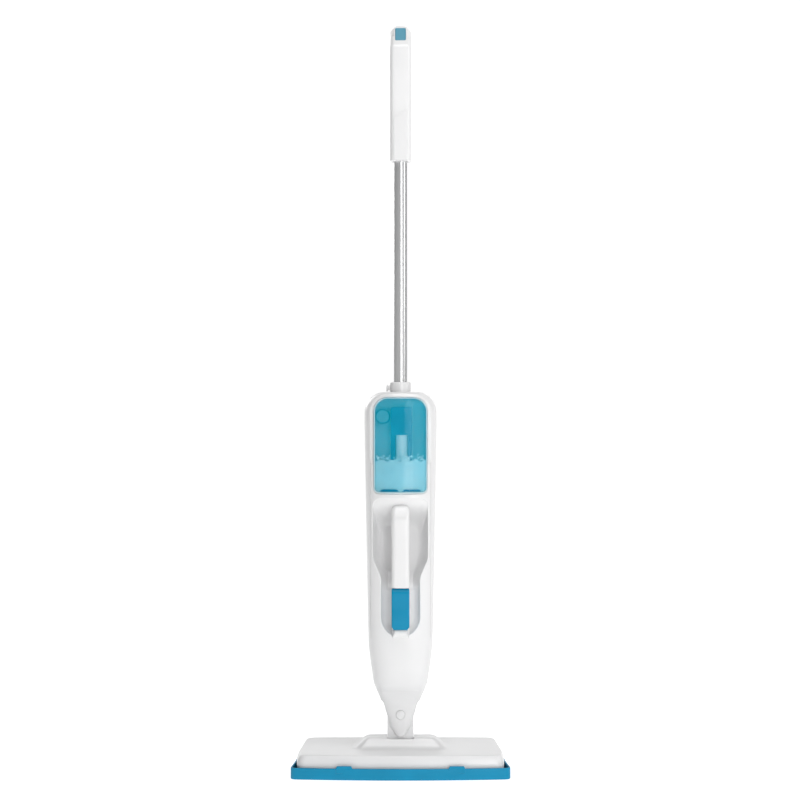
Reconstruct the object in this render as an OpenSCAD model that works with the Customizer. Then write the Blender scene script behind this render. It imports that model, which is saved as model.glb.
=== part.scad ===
// Upright steam mop with a carpet glider, a lift-out water tank, a hand grip on the body and a
// loop handle on a pull-out tube. Millimetres. The origin is on the floor under the tube's axis,
// +Z is up, the tank and the controls face -Y, and the user stands on the +Y side.

/* [Carpet glider] */
// Width over the front corners
glider_w = 342; // [336:1:350]
// Width over the back corners
glider_back_w = 320; // [320:1:326]
// Depth from front to back
glider_d = 190; // [190:1:196]
// Height of the rim
glider_h = 18.2; // [16:0.1:19]
// Thickness of the rim and the floor
glider_wall = 2.4; // [2:0.1:2.6]
// Height of the two clip tabs
tab_h = 22; // [21:0.1:23]
// Distance of each clip tab from the middle
tab_x = 87; // [70:1:110]

/* [Mop head] */
// Half width of the cover at the front corners
cover_front_w = 160; // [156:1:161]
// Half width of the cover at its widest, a little behind the front
cover_mid_w = 163; // [160:1:163]
// Half width of the cover near the back
cover_back_w = 156; // [150:1:156]
// Height of the cover's top face
cover_top = 36.5; // [34:0.5:37]
// Height of the raised pod that holds the joint
pod_top = 53; // [51:0.5:54]
// Thickness of the cleaning pad
pad_t = 7.2; // [5:0.1:7.5]

/* [Swivel neck] */
// Height of the tilt axis
tilt_z = 46; // [46:0.5:47]
// Radius of the drum that tilts
drum_r = 13.4; // [12.6:0.1:13.5]
// Width of the knuckle
knuckle_w = 41.2; // [38:0.1:41.4]
// Height of the swivel axis
swivel_z = 89; // [88:0.5:90]
// Radius of both pivot pins
pin_r = 4; // [3:0.1:4.5]

/* [Body] */
// Height where the neck meets the shells
shell_z = 130; // [128:1:132]
// Height where the water tank's bay starts
bay_z = 437; // [437:0.5:438]
// Height of the body's top
body_top = 599; // [599:0.5:601]
// Radius of the shoulders
shoulder_r = 32; // [28:1:34]
// Wall of the shells
shell_wall = 2.5; // [2:0.1:2.8]
// Depth from the seam to the front
front_d = 52; // [51:0.5:53]
// Depth from the seam to the back
back_d = 42; // [41:0.5:43]

/* [Hand grip] */
// Half width of the grip bar
bar_half = 14; // [13:0.5:14]
// Height of the bar's lower edge, above the button
bar_low = 292.6; // [292.2:0.1:293.4]
// Depth of the recess floor from the seam
recess_y = 10; // [9.6:0.1:10.4]
// Travel of the thumb button
thumb_travel = 2.5; // [1.5:0.1:2.6]

/* [Water tank] */
// Half width of the tank
tank_half = 42; // [41:0.1:42]
// Height of the tank's foot
tank_low = 440; // [440:0.1:440.5]
// Height of the tank's top
tank_top = 590; // [589:0.1:590]
// Radius of its top corners
tank_corner = 22; // [18:1:24]
// Distance of its back wall from the seam
tank_back = 20; // [20:0.1:21]
// Wall of the tank
tank_wall = 2.2; // [1.8:0.1:2.4]

/* [Tube and handle] */
// Radius of the steel tube
tube_r = 11; // [10.8:0.05:11]
// Radius of the collar that the tube plugs into
collar_r = 16.5; // [16:0.1:16.6]
// Height of the collar's rim
collar_top = 614.6; // [612:0.2:618]
// Half width of the handle
handle_half = 16.5; // [16:0.1:18]
// Height of the handle's lower edge
handle_low = 964; // [960:1:970]
// Height of the handle's top
handle_top = 1182; // [1182:1:1184]
// Width of the strip along the handle's front
strip_w = 21; // [20:0.5:22]

/* [Hidden] */
$fn = 48;

white = [0.95, 0.95, 0.95];
blue = [0.13, 0.59, 0.73];
tank_blue = [0.3, 0.72, 0.83];
steel = [0.75, 0.76, 0.78];
dark = [0.15, 0.15, 0.16];

// Gap between pieces that lie side by side
gap = 0.4;
// Gap between a turning pin and its bearing
running = 0.05;

// ---------- Shared shapes ----------

// Closed solid through rings of points, lowest ring first, each ring anticlockwise seen from above.
module loft(rings) {
    n = len(rings[0]);
    last = len(rings) - 1;
    sides = [for (k = [0:last - 1], i = [0:n - 1]) let (j = (i + 1) % n)
        each [[k * n + i, (k + 1) * n + i, (k + 1) * n + j],
              [k * n + i, (k + 1) * n + j, k * n + j]]];
    caps = [[for (i = [0:n - 1]) i], [for (i = [n - 1:-1:0]) last * n + i]];
    polyhedron([for (r = rings) each r], concat(caps, sides));
}

function unit(v) = v / norm(v);

// Ring of points round one place of a path, square to it.
function path_ring(path, i, r, sides, ref) =
    let (a = path[max(i - 1, 0)], b = path[min(i + 1, len(path) - 1)],
         u = unit(cross(b - a, ref)), v = unit(cross(b - a, u)))
    [for (k = [0:sides - 1]) path[i] + r * (cos(360 * k / sides) * u + sin(360 * k / sides) * v)];

// Hollow hose along a path that stays clear of the direction ref.
module hose(path, r, wall, ref = [1, 0, 0], sides = 16) {
    rings = [for (i = [0:len(path) - 1])
        concat(path_ring(path, i, r, sides, ref), path_ring(path, i, r - wall, sides, ref))];
    n = 2 * sides;
    last = len(path) - 1;
    skin = [for (k = [0:last - 1], i = [0:sides - 1]) let (j = (i + 1) % sides, a = k * n, b = a + n)
        each [[a + i, b + i, b + j, a + j],
              [a + sides + i, a + sides + j, b + sides + j, b + sides + i]]];
    ends = [for (i = [0:sides - 1]) let (j = (i + 1) % sides, b = last * n)
        each [[i, j, sides + j, sides + i], [b + i, b + sides + i, b + sides + j, b + j]]];
    polyhedron([for (r = rings) each r], concat(skin, ends));
}

// Cylinder along X or Y from one place to another.
module rod_x(r, x0, x1) {
    translate([x0, 0, 0]) rotate([0, 90, 0]) cylinder(r = r, h = x1 - x0);
}
module rod_y(r, y0, y1) {
    translate([0, y1, 0]) rotate([90, 0, 0]) cylinder(r = r, h = y1 - y0);
}

// Box given by its lowest and highest corners.
module span(low, high) {
    translate(low) cube(high - low);
}

// Outline in X and Z, drawn solid from y0 to y1.
module slab_y(y0, y1) {
    translate([0, y1, 0]) rotate([90, 0, 0]) linear_extrude(y1 - y0) children();
}

// Outline in Y and Z, drawn solid from x0 to x1.
module slab_x(x0, x1) {
    translate([x0, 0, 0]) rotate([90, 0, 90]) linear_extrude(x1 - x0) children();
}

// Pan-head screw whose head's underside is at the origin, with its shank along -Z.
module screw(shank_r, length, head_r = 3.2) {
    difference() {
        union() {
            cylinder(r = head_r, h = 2);
            translate([0, 0, -length]) cylinder(r = shank_r, h = length + 0.5);
        }
        for (a = [0, 90]) rotate(a) translate([-1.8, -0.4, 1]) cube([3.6, 0.8, 2]);
    }
}

// Corner arc of an outline, from angle a0 to a1.
function arc(c, r, a0, a1, steps = 6) =
    [for (i = [0:steps]) let (a = a0 + (a1 - a0) * i / steps) c + r * [cos(a), sin(a)]];

// ---------- Carpet glider ----------

// Plan outline with a bowed front and back. d moves it inward.
function plan_outline(front_w, mid_w, back_w, front_y, back_y, bow, r, d = 0) =
    let (f = front_y + d, b = back_y - d, rr = max(r - d, 1.5))
    concat(
        arc([-(front_w - d) + rr, f + bow + rr], rr, 180, 262),
        [for (x = [-0.6, -0.3, 0, 0.3, 0.6]) [x * front_w, f + bow * x * x]],
        arc([front_w - d - rr, f + bow + rr], rr, 278, 360),
        [[mid_w - d, front_y * 0.35]],
        arc([back_w - d - rr, b - bow / 3 - rr], rr, 4, 82),
        [[back_w * 0.45, b - bow * 0.06], [0, b], [-back_w * 0.45, b - bow * 0.06]],
        arc([-(back_w - d) + rr, b - bow / 3 - rr], rr, 98, 176),
        [[-(mid_w - d), front_y * 0.35]]);

glider_bow = 10;
glider_r = 9;
function glider_outline(d) = plan_outline(glider_w / 2, glider_w / 2 - 5, glider_back_w / 2,
    -glider_d / 2, glider_d / 2, glider_bow, glider_r, d);
function at_z(outline, z) = [for (p = outline) [p[0], p[1], z]];

module carpet_glider() {
    slots = 9;
    pitch = 31;
    color(blue) {
        difference() {
            loft([at_z(glider_outline(2), 0), at_z(glider_outline(0.6), 0.8),
                at_z(glider_outline(0), 2.4), at_z(glider_outline(0), glider_h - 0.8),
                at_z(glider_outline(0.7), glider_h)]);
            translate([0, 0, glider_wall]) linear_extrude(glider_h) polygon(glider_outline(glider_wall));
            for (i = [0:slots - 1], y = [-58, 8])
                translate([(i - (slots - 1) / 2) * pitch - 4, y, -1]) cube([8, 50, glider_wall + 2]);
        }
        for (s = [-1, 1]) clip_tab(s);
    }
}

// Clip tab that stands on the front rim.
module clip_tab(side) {
    y = -glider_d / 2 + glider_bow * pow(tab_x / (glider_w / 2), 2);
    slab_y(y + 0.3, y + glider_wall)
        polygon([[side * tab_x - 12.5, glider_h - 4], [side * tab_x + 12.5, glider_h - 4],
            [side * tab_x + 12.5, glider_h], [side * tab_x + 10.5, tab_h],
            [side * tab_x - 10.5, tab_h], [side * tab_x - 12.5, glider_h]]);
}

// ---------- Mop head ----------

pad_z = glider_wall + gap;
strip_z = pad_z + pad_t;
plate_z = strip_z + 1.2;
plate_t = 2.6;
cover_z = plate_z;
cover_wall = 2.4;
cover_front_y = -87;
cover_back_y = 89;
bevel = 8;

function cover_outline(d) = plan_outline(cover_front_w, cover_mid_w, cover_back_w,
    cover_front_y, cover_back_y, 8, 16, d);

// Raised pod over the joint: half width and depths grow downward.
function pod_ring(z, half, front, back, d) =
    let (h = half - d, f = front + d, b = back - d, r = 7)
    at_z(concat(arc([-h + r, f + r], r, 180, 270, 3), arc([h - r, f + r], r, 270, 360, 3),
        arc([h - r, b - r], r, 0, 90, 3), arc([-h + r, b - r], r, 90, 180, 3)), z);
module pod(d) {
    loft([pod_ring(cover_z + 2, 72, -30, 26, d), pod_ring(cover_top, 70, -28, 22, d),
        pod_ring(pod_top - 6, 62, -22, 16.5, d), pod_ring(pod_top - 1.5 - d, 56, -19, 15, d),
        pod_ring(pod_top - d, 50, -16, 13, d)]);
}
module cover_body(d, low) {
    loft([at_z(cover_outline(d), low), at_z(cover_outline(d), cover_top - 14 - d / 2),
        at_z(cover_outline(d + 1.8), cover_top - 6.5 - d / 2),
        at_z(cover_outline(d + bevel - 3), cover_top - 1.5 - d),
        at_z(cover_outline(d + bevel), cover_top - d)]);
}

ear_in = knuckle_w / 2 + 0.6;
ear_out = 37;
bush_r = 6.5;
module ears(grow) {
    for (s = [-1, 1]) span([s > 0 ? ear_in : -ear_out, -13 - grow, 24],
        [s > 0 ? ear_out : -ear_in, 12 + grow, pod_top - 2]);
}

module head_cover() {
    color(white) difference() {
        union() {
            difference() {
                union() {
                    cover_body(0, cover_z);
                    pod(0);
                }
                cover_body(cover_wall, cover_z - 1);
                pod(cover_wall);
            }
            // Bearing blocks, the trough under the drum and the screw posts
            intersection() {
                union() {
                    ears(0);
                    span([-ear_in - 2, -22, 24], [ear_in + 2, 22, pod_top]);
                }
                union() {
                    pod(0.6);
                    cover_body(0.6, cover_z - 1);
                }
            }
            for (x = [-110, 110], y = [-55, 60])
                translate([x, y, plate_z + plate_t]) cylinder(r = 4, h = cover_top - plate_z - plate_t - 1);
        }
        // Room for the drum and for the neck as it leans back
        translate([0, 0, tilt_z]) rod_x(drum_r + 0.5, -ear_in, ear_in);
        span([-ear_in, -drum_r - 0.5, tilt_z], [ear_in, drum_r + 0.5, pod_top + 5]);
        span([-ear_in, 0, cover_top + 0.4], [ear_in, 30, pod_top + 5]);
        span([-ear_in, -40, 50.6], [ear_in, 0, pod_top + 5]);
        translate([0, 0, tilt_z]) rod_x(bush_r + running, -ear_out - 1, ear_out + 1);
        translate([0, 0, 20]) cylinder(r = 3.2, h = 20);
        for (x = [-110, 110], y = [-55, 60]) translate([x, y, 0]) cylinder(r = 1.5, h = cover_top - 5);
    }
}

module head_base_plate() {
    color(white) difference() {
        translate([0, 0, plate_z]) linear_extrude(plate_t) polygon(cover_outline(cover_wall + 0.5));
        for (x = [-120:40:120], y = [-30, 30]) translate([x, y, plate_z - 1]) cylinder(r = 2, h = 6);
        for (x = [-110, 110], y = [-55, 60]) translate([x, y, plate_z - 1]) {
            cylinder(r = 1.8, h = 6);
            cylinder(r = 3.1, h = 3.05);
        }
    }
}

module mop_pad() {
    color([0.93, 0.94, 0.95])
        translate([0, 0, pad_z]) linear_extrude(pad_t) polygon(cover_outline(3));
}

module hook_strips() {
    color(dark) for (x = [-105, 105], y = [-62, 62])
        span([x - 40, y - 9, strip_z], [x + 40, y + 9, plate_z]);
}

// The hose from the distributor to the hollow tilt pin stands here
hose_x = 44;
module steam_distributor() {
    floor_z = plate_z + plate_t;
    color([0.8, 0.8, 0.78]) difference() {
        union() {
            span([-132, -38, floor_z], [132, 38, floor_z + 7]);
            translate([hose_x, 0, floor_z]) cylinder(r = 6, h = 10);
        }
        span([-130, -36, floor_z - 1], [130, 36, floor_z + 5.4]);
        translate([hose_x, 0, floor_z]) cylinder(r = 2, h = 20);
        translate([0, 0, floor_z]) cylinder(r = 8, h = 12);
    }
}

module head_steam_hose() {
    bend = 5.5;
    foot = plate_z + plate_t + 10;
    color([0.85, 0.85, 0.85]) {
        translate([hose_x - bend, 0, tilt_z - bend]) rotate([90, 0, 0])
            rotate_extrude(angle = 90) translate([bend, 0]) difference() {
                circle(r = 2.8);
                circle(r = 1.8);
            }
        translate([hose_x, 0, foot]) difference() {
            cylinder(r = 2.8, h = tilt_z - bend - foot);
            translate([0, 0, -1]) cylinder(r = 1.8, h = tilt_z);
        }
    }
}

module head_screws() {
    color(steel) for (x = [-110, 110], y = [-55, 60])
        translate([x, y, plate_z + 2.05]) rotate([180, 0, 0]) screw(1.4, 10, 2.9);
}

module pivot_bushes() {
    color([0.9, 0.88, 0.8]) for (s = [-1, 1]) difference() {
        translate([0, 0, tilt_z]) rod_x(bush_r, s > 0 ? ear_in + 0.2 : -ear_out + 0.4,
            s > 0 ? ear_out - 0.4 : -ear_in - 0.2);
        translate([0, 0, tilt_z]) rod_x(pin_r + running, -60, 60);
    }
}

module parking_detent() {
    color(steel) {
        translate([0, 0, 24]) cylinder(r = 3, h = tilt_z - drum_r - 0.6 - 24);
        translate([0, 0, 14.6]) difference() {
            cylinder(r = 2.8, h = 9.4);
            translate([0, 0, -1]) cylinder(r = 2, h = 12);
        }
    }
}

// ---------- Neck ----------

fork_half = 12.6;
knuckle_d = 24.6;
swivel_r = 5;

module knuckle() {
    top_r = knuckle_w / 2;
    color(white) difference() {
        union() {
            translate([0, 0, tilt_z]) rod_x(drum_r, -knuckle_w / 2, knuckle_w / 2);
            span([-knuckle_w / 2, -knuckle_d / 2, tilt_z], [knuckle_w / 2, knuckle_d / 2, swivel_z]);
            translate([0, 0, swivel_z]) rod_y(top_r, -knuckle_d / 2, knuckle_d / 2);
        }
        translate([0, 0, tilt_z]) rod_x(pin_r, -30, 30);
        translate([0, 0, swivel_z]) rod_y(swivel_r + running, -20, 20);
        translate([0, 0, swivel_z + 8]) cylinder(r = 4.5, h = 20);
        span([-12, -knuckle_d, 62], [12, 8, swivel_z - 11]);
    }
}

module trunnion_pin() {
    color(steel) difference() {
        translate([0, 0, tilt_z]) rod_x(pin_r, -36, 36);
        translate([0, 0, tilt_z]) rod_x(1.8, 8, 40);
    }
}

// Half width, front depth and back depth of neck and body by height
widths = [[78, 20.6], [94, 26.4], [110, 31], [125, 37.3], [141, 43], [157, 45.4], [173, 47.8],
    [205, 50.9], [332, 53.4], [460, 55.8], [548, 57.2]];
fronts = [[78, 18.6], [100, 19], [112, 21], [122, 28], [130, 36], [142, 42], [165, 46], [211, 49],
    [300, 51], [400, front_d]];
backs = [[78, 18.6], [113, 19.4], [130, 23], [149, 27], [189, 37], [215, 40], [300, back_d]];

// Distance that a shoulder of radius r takes off at height z
function shoulder(z, r) = z <= body_top - r ? 0 : r - sqrt(max(0, r * r - pow(z - body_top + r, 2)));
function half_w(z) = lookup(z, widths) - shoulder(z, shoulder_r);
function front_y(z) = lookup(z, fronts) - shoulder(z, shoulder_r * 0.75);
function back_y(z) = lookup(z, backs) - shoulder(z, shoulder_r * 0.75);

arc_steps = 20;
round_by = 2.9;
// Front (side -1) or back (side 1) half of the body's section at height z, with its flat on y = lap
function body_half(z, d, side, lap = 0, at = undef) =
    let (w = half_w(z) - d, depth = (side < 0 ? front_y(z) : back_y(z)) - d,
         ring = [for (i = [0:arc_steps]) let (a = 180 * i / arc_steps + (side < 0 ? 180 : 0),
             c = cos(a), s = sin(a))
             [w * sign(c) * pow(abs(c), 2 / round_by), depth * sign(s) * pow(abs(s), 2 / round_by)]],
         ends = lap == 0 ? [] : [[-side * w, -side * lap], [side * w, -side * lap]])
    at_z(concat(ring, ends), at == undef ? z : at);

neck_top = shell_z + 8;
neck_stations = [79, 86, 94, 102, 110, 118, 124, shell_z - 0.3];
// Full section of the neck
function neck_ring(z, d, at = undef) = concat(
    [for (p = body_half(z, d, -1, 0, at)) p],
    [for (p = body_half(z, d, 1, 0, at)) if (abs(p[1]) > 0.01) p]);

module neck_housing() {
    spigot = shell_wall + gap;
    color(white) difference() {
        union() {
            loft([for (z = neck_stations) neck_ring(z, 0)]);
            loft([neck_ring(shell_z, spigot, shell_z - 2), neck_ring(shell_z, spigot, neck_top)]);
            // Front cheek that tapers down in front of the knuckle
            slab_y(-18.5, -fork_half) polygon([[-20.2, 80], [-19, 70], [-9, 55.4], [-6.5, 54.1],
                [6.5, 54.1], [9, 55.4], [19, 70], [20.2, 80]]);
            slab_y(fork_half, 18.5) polygon([[-20.2, 80], [-18, 75], [18, 75], [20.2, 80]]);
        }
        span([-60, -fork_half, 40], [60, fork_half, swivel_z + knuckle_w / 2 + 0.6]);
        translate([0, 0, swivel_z]) rod_y(swivel_r + running, -30, 30);
        translate([0, 0, swivel_z]) rod_y(7.5, -30, -17);
        translate([0, 0, 100]) cylinder(r = 5.5, h = 60);
        loft([neck_ring(shell_z, spigot + 3, 126), neck_ring(shell_z, spigot + 3, neck_top + 1)]);
    }
}

module swivel_pin() {
    color([0.86, 0.87, 0.88]) translate([0, 0, swivel_z]) {
        rod_y(swivel_r, -17, 20);
        intersection() {
            rod_y(7.2, -19.4, -17);
            translate([0, -5, 0]) sphere(r = 14.6, $fn = 64);
        }
    }
}

// ---------- Body shells ----------

low_stations = [shell_z, 136, 142, 150, 160, 173, 189, 205, 250, 300, 360, bay_z];
bay_stations = [bay_z, 480, 548, 567, 576, 583, 589, 593, 596, 598, body_top - 0.1];

// Half of the shells' outside, or of their inside when d is the wall
module half_body(stations, side, d = 0) {
    n = len(stations) - 1;
    low = d == 0 ? stations[0] : stations[0] - 2;
    loft([for (i = [0:n]) body_half(stations[i], d, side, d == 0 ? 0 : 2,
        i == 0 ? low : stations[i])]);
}

// Outline of the hand recess, in X and Z. d moves it outward.
function recess_shape(d) = concat(
    arc([0, 246], 30 + d, 180, 360, 16),
    [[30 + d, 300], [43 + d, 342], [43 + d, 430 + d], [bar_half, 411 + 3 * d],
     [-bar_half, 411 + 3 * d], [-43 - d, 430 + d], [-43 - d, 342], [-30 - d, 300]]);

// Side outline of the grip bar with the rounded step for the button, in Y and Z
module bar_shape() {
    polygon(concat([[-8, 218], [-46, 213.5], [-53, 216]], arc([-54, 221], 4, 270, 180, 3),
        [[-58, 226.8], [-46, 226.8], [-46, bar_low]], arc([-60, bar_low + 2], 2, 270, 180, 3),
        arc([-59, 401], 3, 180, 135, 3), [[-50, 420], [-44, 428], [-8, 428], [-8, 413], [-28, 411]],
        arc([-28, 405], 6, 90, 180, 4), arc([-28, 314], 6, 180, 270, 4), [[-16, 307], [-8, 300]]));
}

front_bosses = [[-46, 226], [46, 226], [-50, 420], [50, 420]];
module front_boss_posts() {
    for (p = front_bosses) translate([p[0], 0, p[1]]) rod_y(4, -18, -0.2);
}

module body_front_shell() {
    color(white) difference() {
        union() {
            difference() {
                half_body(low_stations, -1);
                difference() {
                    half_body(concat(low_stations, [bay_z + 2]), -1, shell_wall);
                    slab_y(-70, -recess_y + 2.4) polygon(recess_shape(2.4));
                    front_boss_posts();
                }
                slab_y(-70, -recess_y) polygon(recess_shape(0));
            }
            difference() {
                slab_x(-bar_half, bar_half) bar_shape();
                slab_x(-bar_half + 2.5, bar_half - 2.5) offset(delta = -2.5) bar_shape();
            }
        }
        // Openings for the switch plunger and the wiring
        translate([0, 0, 260]) rod_y(3, -50, -40);
        translate([0, 0, 245]) rod_y(5, -12, -2);
        for (p = front_bosses) translate([p[0], 0, p[1]]) rod_y(1.5, -16, 2);
    }
}

module body_rear_shell() {
    color(white) difference() {
        union() {
            difference() {
                half_body(concat(low_stations, [for (i = [1:len(bay_stations) - 1]) bay_stations[i]]), 1);
                half_body(concat(low_stations, [548, 567, 576, 583, 589, 593]), 1, shell_wall);
            }
            intersection() {
                for (p = front_bosses) translate([p[0], 0, p[1]]) rod_y(4, 0.2, 50);
                half_body(concat(low_stations, [548]), 1, shell_wall / 2);
            }
        }
        for (p = front_bosses) translate([p[0], 0, p[1]]) {
            rod_y(1.8, -1, 60);
            rod_y(3.6, 14, 60);
        }
        translate([0, 0, collar_top - 60]) cylinder(r = collar_r + running, h = 100);
        translate([0, 0, gland_z]) rod_y(gland_r + running, 30, 60);
        span([-11, back_d - 1.2, hook_low], [11, back_d + 10, hook_low + 30]);
    }
}

// Outline of the tank, in X and Z, grown by d
function tank_shape(d) = concat(
    arc([-tank_half + 9, tank_low + 9], 9 + d, 180, 270),
    arc([tank_half - 9, tank_low + 9], 9 + d, 270, 360),
    arc([tank_half - tank_corner, tank_top - tank_corner], tank_corner + d, 0, 90),
    arc([-tank_half + tank_corner, tank_top - tank_corner], tank_corner + d, 90, 180));

module tank_frame() {
    color(white) difference() {
        half_body(bay_stations, -1);
        difference() {
            half_body([bay_z, 480, 548, 567, 576, 583, 589, 593], -1, shell_wall);
            slab_y(-70, -tank_back + 2.6) polygon(tank_shape(2.6));
        }
        slab_y(-70, -tank_back + gap) polygon(tank_shape(gap));
        translate([0, 0, collar_top - 60]) cylinder(r = collar_r + running, h = 100);
        translate([0, 0, seat_z]) rod_y(seat_r, -30, -10);
    }
}

// ---------- Collar ----------

socket_low = 470;
socket_floor = 505;
button_z = 605;
button_travel = 3;

module pole_socket() {
    color(white) difference() {
        translate([0, 0, socket_low]) cylinder(r = collar_r, h = collar_top - socket_low);
        translate([0, 0, socket_floor]) cylinder(r = tube_r + 0.1, h = 200);
        translate([0, 0, socket_low + 12]) cylinder(r = 13.6, h = socket_floor - socket_low - 12.5);
        translate([0, 0, socket_low - 1]) cylinder(r = 10, h = socket_floor - socket_low + 2);
        translate([0, 0, collar_top - 1.2]) cylinder(r1 = tube_r + 0.1, r2 = tube_r + 1.4, h = 1.3);
        span([-30, -3.4, button_z - 4.4], [-9, 3.4, button_z + 4.4]);
    }
}

module contact_socket() {
    color(dark) difference() {
        translate([0, 0, socket_low + 12.2]) cylinder(r = 13.4, h = 16);
        for (a = [0:120:240]) rotate(a) translate([6, 0, socket_low + 16]) cylinder(r = 1.5, h = 20);
    }
}

module release_button() {
    color(white) {
        slab_y(-5, 5) polygon([[-22.8, button_z - 5.4], [-19.9, button_z - 5.4],
            [-19.9, button_z + 6], [-21.2, button_z + 5], [-22.8, button_z + 1.5]]);
        span([-19.9, -3, button_z - 4], [-15, 3, button_z + 4]);
    }
}

// Coil spring drawn as its sleeve, along X
module release_spring() {
    color(steel) translate([0, 0, button_z]) difference() {
        rod_x(2.4, -14.8, -tube_r - 0.7);
        rod_x(1.8, -20, -5);
    }
}

// ---------- Water and steam path ----------

seat_z = 453;
seat_r = 7.2;

module tank_seat() {
    color([0.85, 0.85, 0.85]) translate([0, 0, seat_z]) difference() {
        union() {
            rod_y(9.5, -tank_back + 2.8, -1);
            translate([0, -4, -19]) cylinder(r = 3, h = 12);
        }
        rod_y(7, -30, -3);
        translate([0, -4, -25]) cylinder(r = 1.4, h = 20);
    }
}

pump_y = 12;
module pump() {
    color([0.3, 0.32, 0.35]) difference() {
        union() {
            translate([0, pump_y, 340]) cylinder(r = 14, h = 44);
            span([-17, pump_y - 16, 350], [17, pump_y + 16, 374]);
            translate([0, pump_y, 384]) cylinder(r = 3, h = 12);
            translate([0, pump_y, 328]) cylinder(r = 3, h = 12);
        }
        translate([0, pump_y, 320]) cylinder(r = 1.4, h = 90);
    }
}

boiler_y = 13;
module boiler() {
    color([0.7, 0.7, 0.72]) difference() {
        union() {
            translate([0, boiler_y, 190]) cylinder(r = 18, h = 80);
            for (z = [198:18:252]) translate([0, boiler_y, z]) cylinder(r = 20, h = 3);
            translate([0, boiler_y, 180]) cylinder(r = 3, h = 10);
            translate([9, boiler_y, 270]) cylinder(r = 3, h = 10);
        }
        translate([0, boiler_y, 196]) cylinder(r = 12, h = 66);
        translate([0, boiler_y, 170]) cylinder(r = 1.4, h = 30);
        translate([9, boiler_y, 258]) cylinder(r = 1.4, h = 30);
    }
}

module thermostat() {
    color(dark) {
        translate([-7, boiler_y, 270]) cylinder(r = 7, h = 6);
        for (s = [-1, 1]) span([-7 + 4 * s - 0.8, boiler_y - 2.5, 276], [-7 + 4 * s + 0.8, boiler_y + 2.5, 284]);
    }
}

module inlet_hose() {
    color([0.9, 0.9, 0.88]) hose([[0, -4, 434], [0, -4, 427], [0, -2.5, 421], [0, 2, 414],
        [0, 8, 408], [0, 11.4, 403], [0, 12, 399], [0, 12, 396]], 3, 1);
}

module feed_hose() {
    color([0.9, 0.9, 0.88]) hose([[0, pump_y, 328], [0, pump_y, 322], [1.5, pump_y, 312],
        [4.5, pump_y, 301], [7.5, pump_y + 0.5, 291], [9, boiler_y, 284], [9, boiler_y, 280]],
        3, 1, [0, 1, 0]);
}

module steam_hose() {
    color([0.9, 0.9, 0.88]) hose([[0, 13, 180], [0, 13, 174], [0, 11.5, 165], [0, 7.5, 155],
        [0, 3, 146], [0, 0.6, 137], [0, 0, 128], [0, 0, 116]], 4, 1.2);
}

module control_board() {
    color([0.1, 0.35, 0.2]) span([-28, 31, 284], [28, 32.6, 322]);
    color(dark) {
        span([-22, 24, 290], [-8, 31, 304]);
        span([4, 26, 292], [20, 31, 316]);
        translate([-15, 31, 313]) rotate([90, 0, 0]) cylinder(r = 4, h = 9);
    }
}

// ---------- Thumb button, cable gland, screws and lower cord hook ----------

thumb_low = 227.6;
thumb_high = 292.2;
module thumb_button() {
    face_y = -62.5;
    back = -46 - thumb_travel - gap;
    color(blue) difference() {
        slab_x(-bar_half, bar_half) polygon([[back, thumb_low], [-58.5, thumb_low],
            [-60.5, thumb_low + 3], [face_y, thumb_low + 18], [face_y, thumb_high - 9],
            [-60, thumb_high - 0.6], [-59, thumb_high], [back, thumb_high]]);
        span([-11.5, -59.5, thumb_low + 5], [11.5, -40, thumb_high - 12]);
    }
}

module thumb_switch() {
    color(dark) {
        span([-5, -42.6, 251], [5, -32, 269]);
        translate([0, 0, 260]) rod_y(2, -49, -42.6);
    }
}

module thumb_spring() {
    color(steel) translate([0, 0, 273]) difference() {
        rod_y(4, -59.2, -46.2);
        rod_y(3.2, -70, -40);
    }
}

gland_z = 350;
gland_r = 7;
module cable_gland() {
    color(dark) translate([0, 0, gland_z]) difference() {
        union() {
            rod_y(gland_r, 34, 50);
            rod_y(9, back_d, 45);
            rod_y(9, 35.4, 38.6);
        }
        rod_y(3.7, 20, 70);
    }
}

module body_screws() {
    color(steel) for (p = front_bosses)
        translate([p[0], 14.2, p[1]]) rotate([-90, 0, 0]) screw(1.4, 26, 3.2);
}

hook_low = 232;
module lower_cord_hook() {
    front = back_d - 1.1;
    color(white) slab_x(-9, 9) polygon([[front, hook_low + 1], [front, hook_low + 29],
        [front + 8, hook_low + 29], [front + 22, hook_low + 22], [front + 27, hook_low + 10],
        [front + 27, hook_low - 10], [front + 23, hook_low - 10], [front + 22, hook_low + 8],
        [front + 18, hook_low + 14], [front + 5, hook_low + 16], [front + 5, hook_low + 1]]);
}

// ---------- Water tank ----------

// Half width of the tank at height z, less d
function tank_w(z, d) = let (r = tank_corner, up = z - (tank_top - r), down = tank_low + 9 - z)
    tank_half - d - (up > 0 ? r - sqrt(max(0, pow(r - d, 2) - up * up)) - d : 0)
        - (down > 0 ? 9 - sqrt(max(0, pow(9 - d, 2) - down * down)) - d : 0);
function tank_front(x, z, d) = -55 + d + 10 * pow(x / tank_half, 2) + 0.5 * pow(max(0, z - tank_top + 8), 1.4);
function tank_ring(z, d, w) = let (n = 10)
    at_z(concat([for (i = [-n:n]) let (x = w * i / n) [x, tank_front(x, z, d)]],
        [[w, -tank_back - d - 3], [w - 3, -tank_back - d], [-w + 3, -tank_back - d],
         [-w, -tank_back - d - 3]]), z);
module tank_body(d) {
    low = tank_low + d;
    high = tank_top - d;
    levels = concat([low + 0.3, low + 1.2, low + 3, low + 6, tank_low + 9, 500],
        [for (t = [0:0.2:0.8]) tank_top - tank_corner + (tank_corner - d) * sin(90 * t) - 0.01],
        [high - 0.3]);
    loft([for (z = levels) tank_ring(z, d, max(tank_w(z, d), 6))]);
}

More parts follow.
